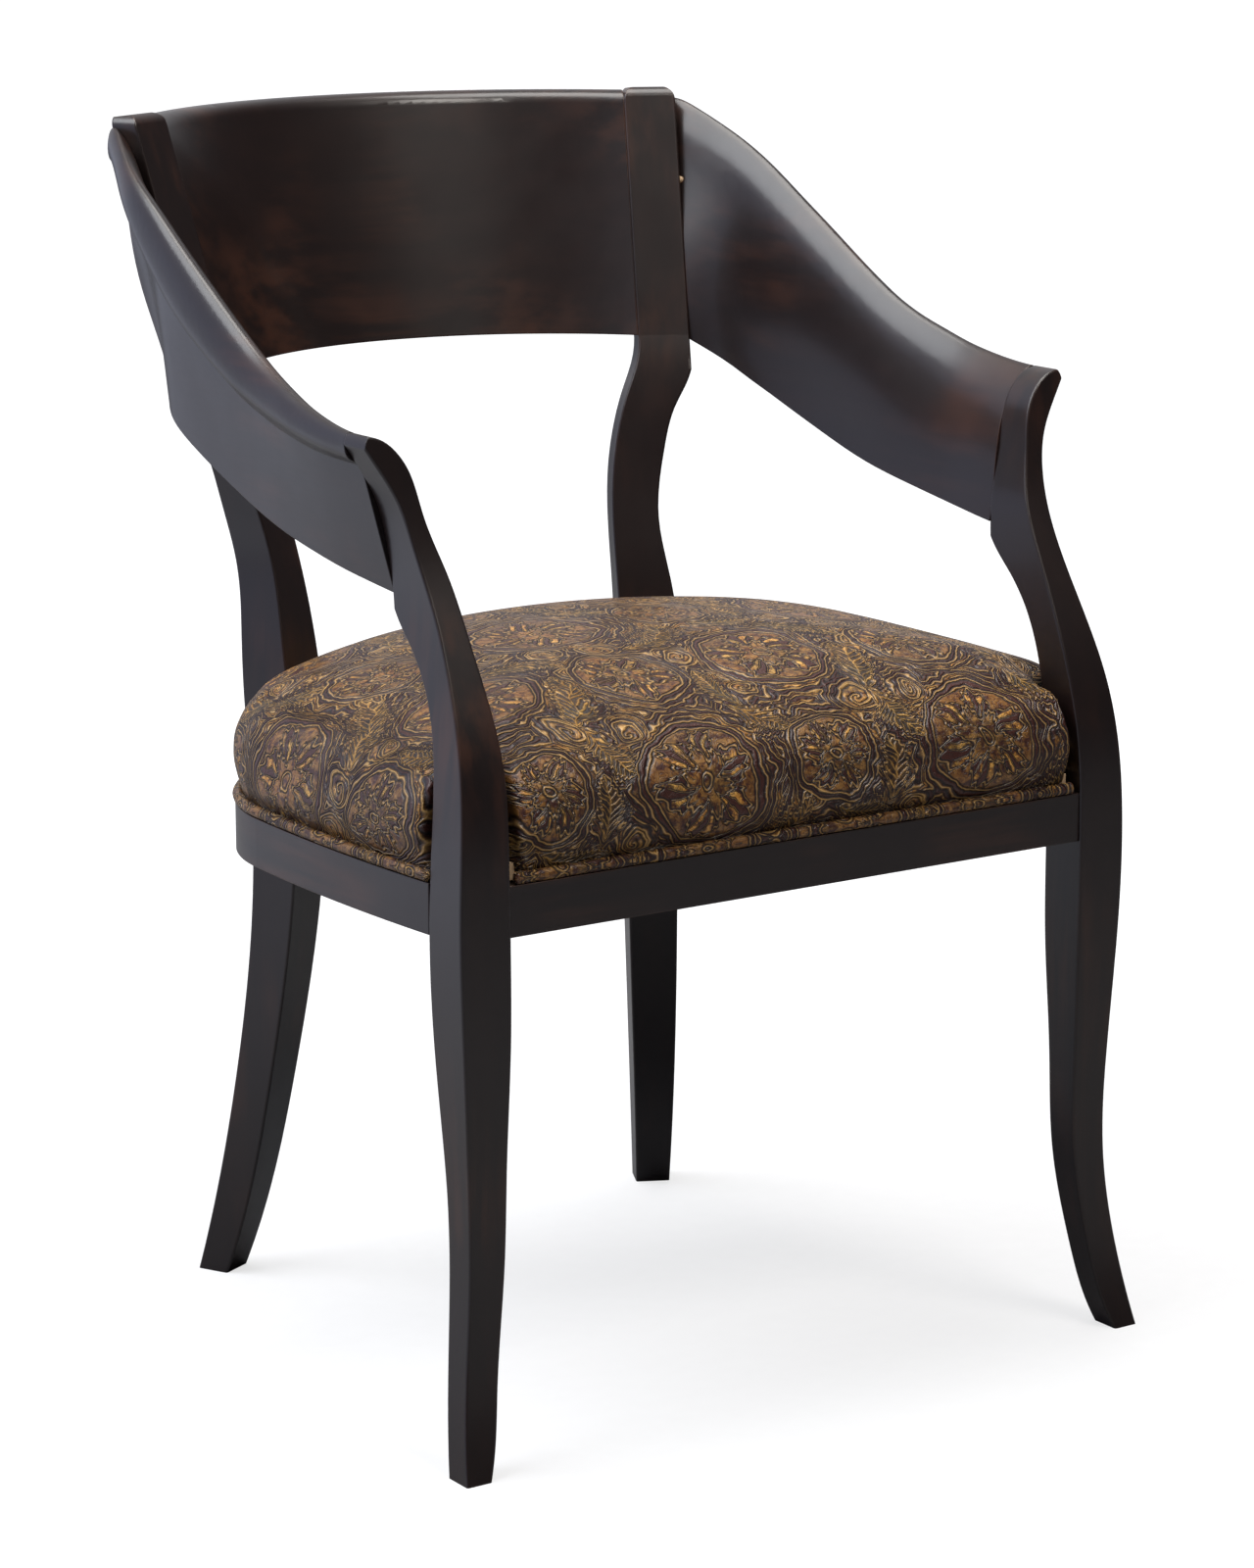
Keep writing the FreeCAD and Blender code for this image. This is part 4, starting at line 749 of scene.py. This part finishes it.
def coordinates(mesh):
    flat = np.empty(len(mesh.vertices) * 3)
    mesh.vertices.foreach_get("co", flat)
    return flat.reshape(-1, 3)


def set_coordinates(mesh, points):
    mesh.vertices.foreach_set("co", np.ascontiguousarray(points).ravel())
    mesh.update()


VOXEL = 0.005
SWELL_FRAMES = 20
SWELL_LIMIT = 0.006
HELD_HEIGHT = 0.011


def stuffed(thing):
    """Lets the cover swell under pressure over a foot held to the board."""
    before = coordinates(thing.data)
    held = thing.vertex_groups.new(name="held")
    low = [i for i, p in enumerate(before) if p[2] < RAIL_TOP + HELD_HEIGHT]
    held.add(low, 1.0, "REPLACE")
    cloth = thing.modifiers.new("cloth", "CLOTH")
    settings = cloth.settings
    settings.quality = 6
    settings.mass = 0.4
    settings.tension_stiffness = 25
    settings.compression_stiffness = 25
    settings.shear_stiffness = 12
    settings.bending_stiffness = 2.0
    settings.use_pressure = True
    settings.uniform_pressure_force = 4.0
    settings.vertex_group_mass = "held"
    settings.effector_weights.gravity = 0.0
    cloth.collision_settings.use_collision = False
    cloth.collision_settings.use_self_collision = False
    cloth.point_cache.frame_start = 1
    cloth.point_cache.frame_end = SWELL_FRAMES
    scene = bpy.context.scene
    for step in range(1, SWELL_FRAMES + 1):
        scene.frame_set(step)
    graph = bpy.context.evaluated_depsgraph_get()
    swollen = bpy.data.meshes.new_from_object(thing.evaluated_get(graph))
    after = coordinates(swollen)
    bpy.data.meshes.remove(swollen)
    thing.modifiers.clear()
    scene.frame_set(1)
    move = after - before
    length = np.linalg.norm(move, axis=1, keepdims=True)
    limit = np.minimum(1.0, SWELL_LIMIT / np.maximum(length, 1e-9))
    set_coordinates(thing.data, before + move * limit)


def keep_off_legs(points, gap):
    """Moves any point that came too near a leg back to its clearance."""
    side = np.sign(points[:, 0])
    x = np.abs(points[:, 0])
    y = points[:, 1].copy()
    rise = np.clip((points[:, 2] - LEAN_START) / LEAN_SPAN, 0.0, 1.6)
    inner = LEG_INNER - gap
    back = LEG_BACK + gap + LEAN_REACH * rise**1.6
    into_x = x - inner
    into_y = back - y
    inside = (into_x > 0) & (into_y > 0)
    by_x = inside & (into_x < into_y)
    by_y = inside & ~by_x
    x[by_x] = inner
    y[by_y] = back[by_y]
    across, behind = to_post(x, y)
    half = POST_HALF + gap
    inside = (behind > -gap) & (np.abs(across) < half)
    to_face = behind + gap
    to_inner = across + half
    to_outer = half - across
    nearest = np.minimum(np.minimum(to_face, to_inner), to_outer)
    at_face = inside & (to_face <= nearest)
    at_inner = inside & ~at_face & (to_inner <= nearest)
    at_outer = inside & ~at_face & ~at_inner
    behind[at_face] = -gap
    across[at_inner] = -half
    across[at_outer] = half
    x[inside], y[inside] = from_post(across[inside], behind[inside])
    return np.column_stack((side * x, y, points[:, 2]))


# Run of the hide down the cushion's side, by height above the rails
SIDE_RUN = (
    (0.0, 0.0876), (0.0070, 0.0806), (0.0118, 0.0721), (0.0230, 0.0591),
    (0.0380, 0.0440), (0.0550, 0.0269), (0.0680, 0.0115),
    (SHOULDER_HEIGHT, 0.0),
)
# Heights over which the hide turns from the dome onto the side
TURN_ABOVE = 0.006
TURN_SPAN = 0.008


def lay_hide(thing):
    """Gives each point its place in the flat hide, in millimetres."""
    points = coordinates(thing.data)
    outline = plan(SHOULDER_INSET)
    tree = KDTree(len(outline))
    for i, row in enumerate(outline):
        tree.insert((row[0], row[1], 0.0), i)
    tree.balance()
    heights = [h for h, _ in SIDE_RUN]
    runs = [r for _, r in SIDE_RUN]
    hide = np.zeros((len(points), 3))
    for i, (x, y, z) in enumerate(points):
        (bx, by, _), index, _ = tree.find((x, y, 0.0))
        nx, ny = outline[index, 2:4]
        tx, ty = -ny, nx
        slide = (x - bx) * tx + (y - by) * ty
        run = float(np.interp(z - RAIL_TOP, heights, runs))
        side = (bx + tx * slide + nx * run, by + ty * slide + ny * run)
        share = (SHOULDER_HEIGHT + TURN_ABOVE - (z - RAIL_TOP)) / TURN_SPAN
        share = min(max(share, 0.0), 1.0)
        share = share * share * (3 - 2 * share)
        hide[i, 0] = (x + (side[0] - x) * share) * 1000.0
        hide[i, 1] = (y + (side[1] - y) * share) * 1000.0
    attribute = thing.data.attributes.new("hide", "FLOAT_VECTOR", "POINT")
    attribute.data.foreach_set("vector", hide.ravel())


# How much smaller the form starts than it ends, and its gaps to the legs and rails
DRAW_IN = 0.003
ROOM_GAP = 0.0045
SWOLLEN_GAP = 0.0022
LEG_GAP = 0.0012
RAIL_GAP = 0.0003


def make_cushion():
    """The stuffed leather form, cut round the legs, with its places in the hide."""
    form = closed_form("cushion", cushion_rings(DRAW_IN))
    rooms = leg_rooms(ROOM_GAP)
    for room in rooms:
        cut = form.modifiers.new("room", "BOOLEAN")
        cut.operation = "DIFFERENCE"
        cut.solver = "EXACT"
        cut.object = room
    remesh = form.modifiers.new("remesh", "REMESH")
    remesh.mode = "VOXEL"
    remesh.voxel_size = VOXEL
    apply_modifiers(form)
    for room in rooms:
        mesh = room.data
        bpy.data.objects.remove(room)
        bpy.data.meshes.remove(mesh)
    stuffed(form)
    points = coordinates(form.data)
    set_coordinates(form.data, keep_off_legs(points, SWOLLEN_GAP))
    smooth = form.modifiers.new("smooth", "SMOOTH")
    smooth.factor = 0.5
    smooth.iterations = 4
    divide = form.modifiers.new("divide", "SUBSURF")
    divide.levels = 1
    divide.render_levels = 1
    apply_modifiers(form)
    points = keep_off_legs(coordinates(form.data), LEG_GAP)
    points[:, 2] = np.maximum(points[:, 2], RAIL_TOP + RAIL_GAP)
    set_coordinates(form.data, points)
    form.data.polygons.foreach_set("use_smooth", [True] * len(form.data.polygons))
    lay_hide(form)
    return form


# Piping: one covered cord for each run between the legs

WELT_RADIUS = 0.0043
WELT_INSET = 0.0024
WELT_SIDES = 16
WELT_POINTS = 480
WELT_END_ROUND = 0.002
# How far before a leg the piping stops
LEG_EASE = 0.001
POST_FRONT_EASE = 0.0086
POST_SIDE_EASE = 0.0015
# Where the strip for the piping lies in the hide, millimetres
WELT_STRIP = 31.0


def piping_paths():
    """Plan runs of the piping: along the front, the right side and the back."""
    rows = np.array(half_plan(WELT_INSET) + [(0.0, SEAT_BACK - WELT_INSET, 0.0, 1.0)])
    steps = np.linalg.norm(np.diff(rows[:, :2], axis=0), axis=1)
    run = np.concatenate(([0.0], np.cumsum(steps)))
    even = np.linspace(0.0, run[-1], WELT_POINTS)
    path = np.column_stack([np.interp(even, run, rows[:, k]) for k in (0, 1)])
    across, behind = to_post(path[:, 0], path[:, 1])
    beside_leg = path[:, 0] > LEG_INNER - LEG_EASE
    in_leg = np.flatnonzero(beside_leg & (path[:, 1] < LEG_BACK))
    beside_post = np.abs(across) < POST_HALF + POST_SIDE_EASE
    in_post = np.flatnonzero((behind > -POST_FRONT_EASE) & beside_post)
    front, back = path[: in_leg[0]], path[in_post[-1] + 1 :]
    front = np.vstack((front[:0:-1] * (-1, 1), front))
    back = np.vstack((back, back[-2::-1] * (-1, 1)))
    return front, path[in_leg[-1] + 1 : in_post[0]], back


def piping(name, path, stands_for):
    """A covered cord, slightly uneven and rounded at its ends, lying on the rail."""
    tangent = np.gradient(path, axis=0)
    tangent /= np.linalg.norm(tangent, axis=1, keepdims=True)
    outward = np.column_stack((tangent[:, 1], -tangent[:, 0]))
    run = np.concatenate(([0.0], np.cumsum(np.linalg.norm(np.diff(path, axis=0), axis=1))))
    to_end = np.minimum(np.minimum(run, run[-1] - run) / WELT_END_ROUND, 1.0)
    close = np.sqrt(np.clip(1.0 - (1.0 - to_end) ** 2, 0.02, 1.0))
    uneven = 0.975 + 0.02 * np.sin(run * 190.0 + 2 * np.sin(run * 47.0))
    radius = WELT_RADIUS * close * uneven
    turns = np.arange(WELT_SIDES) * 2 * math.pi / WELT_SIDES
    across = np.cos(turns)[None, :, None] * outward[:, None, :]
    plan_points = path[:, None, :] + across * radius[:, None, None]
    level = RAIL_TOP + WELT_RADIUS + np.sin(turns)[None, :] * radius[:, None]
    points = np.concatenate((plan_points, level[:, :, None]), axis=2).reshape(-1, 3)
    faces = [tuple(range(WELT_SIDES))]
    for i in range(len(path) - 1):
        for j in range(WELT_SIDES):
            k = (j + 1) % WELT_SIDES
            low, high = i * WELT_SIDES, (i + 1) * WELT_SIDES
            faces.append((low + k, low + j, high + j, high + k))
    faces.append(tuple(reversed(range(len(points) - WELT_SIDES, len(points)))))
    cord = mesh_object(name, points, faces)
    cord.data.polygons.foreach_set("use_smooth", [True] * len(faces))
    girth = np.abs((turns + math.pi) % (2 * math.pi) - math.pi) * WELT_RADIUS * 1000.0
    hide = np.zeros((len(path), WELT_SIDES, 3))
    hide[:, :, 0] = run[:, None] * 1000.0
    hide[:, :, 1] = girth[None, :] + WELT_STRIP
    attribute = cord.data.attributes.new("hide", "FLOAT_VECTOR", "POINT")
    attribute.data.foreach_set("vector", hide.ravel())
    cord.data.materials.append(HIDE)
    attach(cord, "root")
    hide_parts(stands_for)


# Materials on the frame's pieces

WOODS = {axis: espresso_wood("wood_" + "xyz"[axis], axis) for axis in range(3)}
GRAIN = {
    "front_leg": 2, "rear_leg": 2, "arm": 1, "side_rail": 1, "back_panel": 0,
    "front_rail": 0, "back_rail": 0,
}
ORNAMENT = ornament_group()
HIDE = leather("embossed_leather", ORNAMENT, hide_place)
BARE = bare_wood("bare_wood")
PLAIN = {
    "dust_cover": black_cloth("dust_cloth"),
    "seat_foam": foam_stuff("foam"),
    "screws": plated_steel("plated_steel"),
}


def material_for(name):
    for stem, axis in GRAIN.items():
        if name == stem or name in (stem + "_left", stem + "_right"):
            return WOODS[axis]
    if name == "seat_cover" or name.startswith("welt"):
        return HIDE
    if name.endswith("screws"):
        return PLAIN["screws"]
    return PLAIN.get(name, BARE)


for name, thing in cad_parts.items():
    thing.data.materials.clear()
    thing.data.materials.append(material_for(name))

cushion = make_cushion()
cushion.name = "leather_cushion"
cushion.data.materials.clear()
cushion.data.materials.append(HIDE)
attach(cushion, "root")
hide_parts("seat_cover", "seat_foam")

front_run, side_run, back_run = piping_paths()
piping("piping_front", front_run, "welt_front")
piping("piping_side_right", side_run, "welt_side_right")
piping("piping_side_left", side_run[::-1] * (-1, 1), "welt_side_left")
piping("piping_back", back_run, "welt_back")

# Floor, world and lamps


def make_floor():
    """A floor that looks white to the camera, keeps the shadow and glows to the left."""
    far = 60.0
    points = [(-far, -far, 0.0), (far, -far, 0.0), (far, far, 0.0), (-far, far, 0.0)]
    floor = mesh_object("floor", points, [(0, 1, 2, 3)])
    material, t, shader = new_material("floor_paper")
    where = object_place(t)
    fleck = t.noise(where, 60.0, 3.0).outputs["Fac"]
    t.put(shader.inputs["Base Color"], t.blend(fleck, (0.24, 0.24, 0.245), (0.27, 0.27, 0.275)))
    shader.inputs["Roughness"].default_value = 0.9
    shader.inputs["Specular IOR Level"].default_value = 0.1
    x, y, _ = t.split(where)
    distance = t.math("SQRT", t.add(t.mul(x, x), t.mul(y, y)))
    white = t.add(0.72, t.mul(t.step(distance, 0.5, 1.8), 0.28))
    ray = t.new("ShaderNodeLightPath").outputs
    # Painted glow: the floor's left part emits a bluish light seen only in reflections, standing
    # in for a bright window there.
    reflected_glow_left = t.mul(t.step(t.sub(t.mul(y, 0.25), x), 0.4, 2.0), 0.80)
    glow = t.add(t.mul(ray["Is Camera Ray"], white), t.mul(ray["Is Glossy Ray"], reflected_glow_left))
    cool = t.blend(ray["Is Camera Ray"], (0.74, 0.80, 1.0), (1.0, 1.0, 1.0))
    t.put(shader.inputs["Emission Color"], cool)
    t.put(shader.inputs["Emission Strength"], glow)
    floor.data.materials.append(material)


def make_world():
    """White where the camera looks; for the rest bright behind and to the left."""
    world = bpy.data.worlds.new("studio")
    world.use_nodes = True
    bpy.context.scene.world = world
    t = Tree(world.node_tree)
    background = [n for n in world.node_tree.nodes if n.type == "BACKGROUND"][0]
    where = t.new("ShaderNodeTexCoord").outputs["Generated"]
    x, y, z = t.split(where)
    behind = t.step(t.add(y, t.mul(z, 0.1)), 0.0, 0.75)
    left = t.step(t.sub(t.mul(y, 0.6), x), 0.35, 1.1)
    room = t.blend(behind, (0.075, 0.072, 0.078), (0.62, 0.63, 0.66))
    room = t.blend(left, room, (0.70, 0.78, 1.05))
    seen = t.new("ShaderNodeLightPath").outputs["Is Camera Ray"]
    t.put(background.inputs["Color"], t.blend(seen, room, (1.0, 1.0, 1.0)))
    background.inputs["Strength"].default_value = 1.0


make_camera()
make_floor()
make_world()
area_light("key", (-1.9, 0.6, 3.2), (0.0, 0.0, 0.5), 2.2, 2.2, 120.0, (0.94, 0.97, 1.0))
area_light("front", (0.5, -2.3, 3.6), (0.0, 0.0, 0.45), 1.3, 0.9, 70.0, (1.0, 0.96, 0.90))
area_light("overhead", (0.1, 0.2, 3.1), (0.0, 0.0, 0.4), 1.6, 1.4, 70.0, (1.0, 0.98, 0.95))
bpy.context.scene.view_settings.view_transform = "Standard"
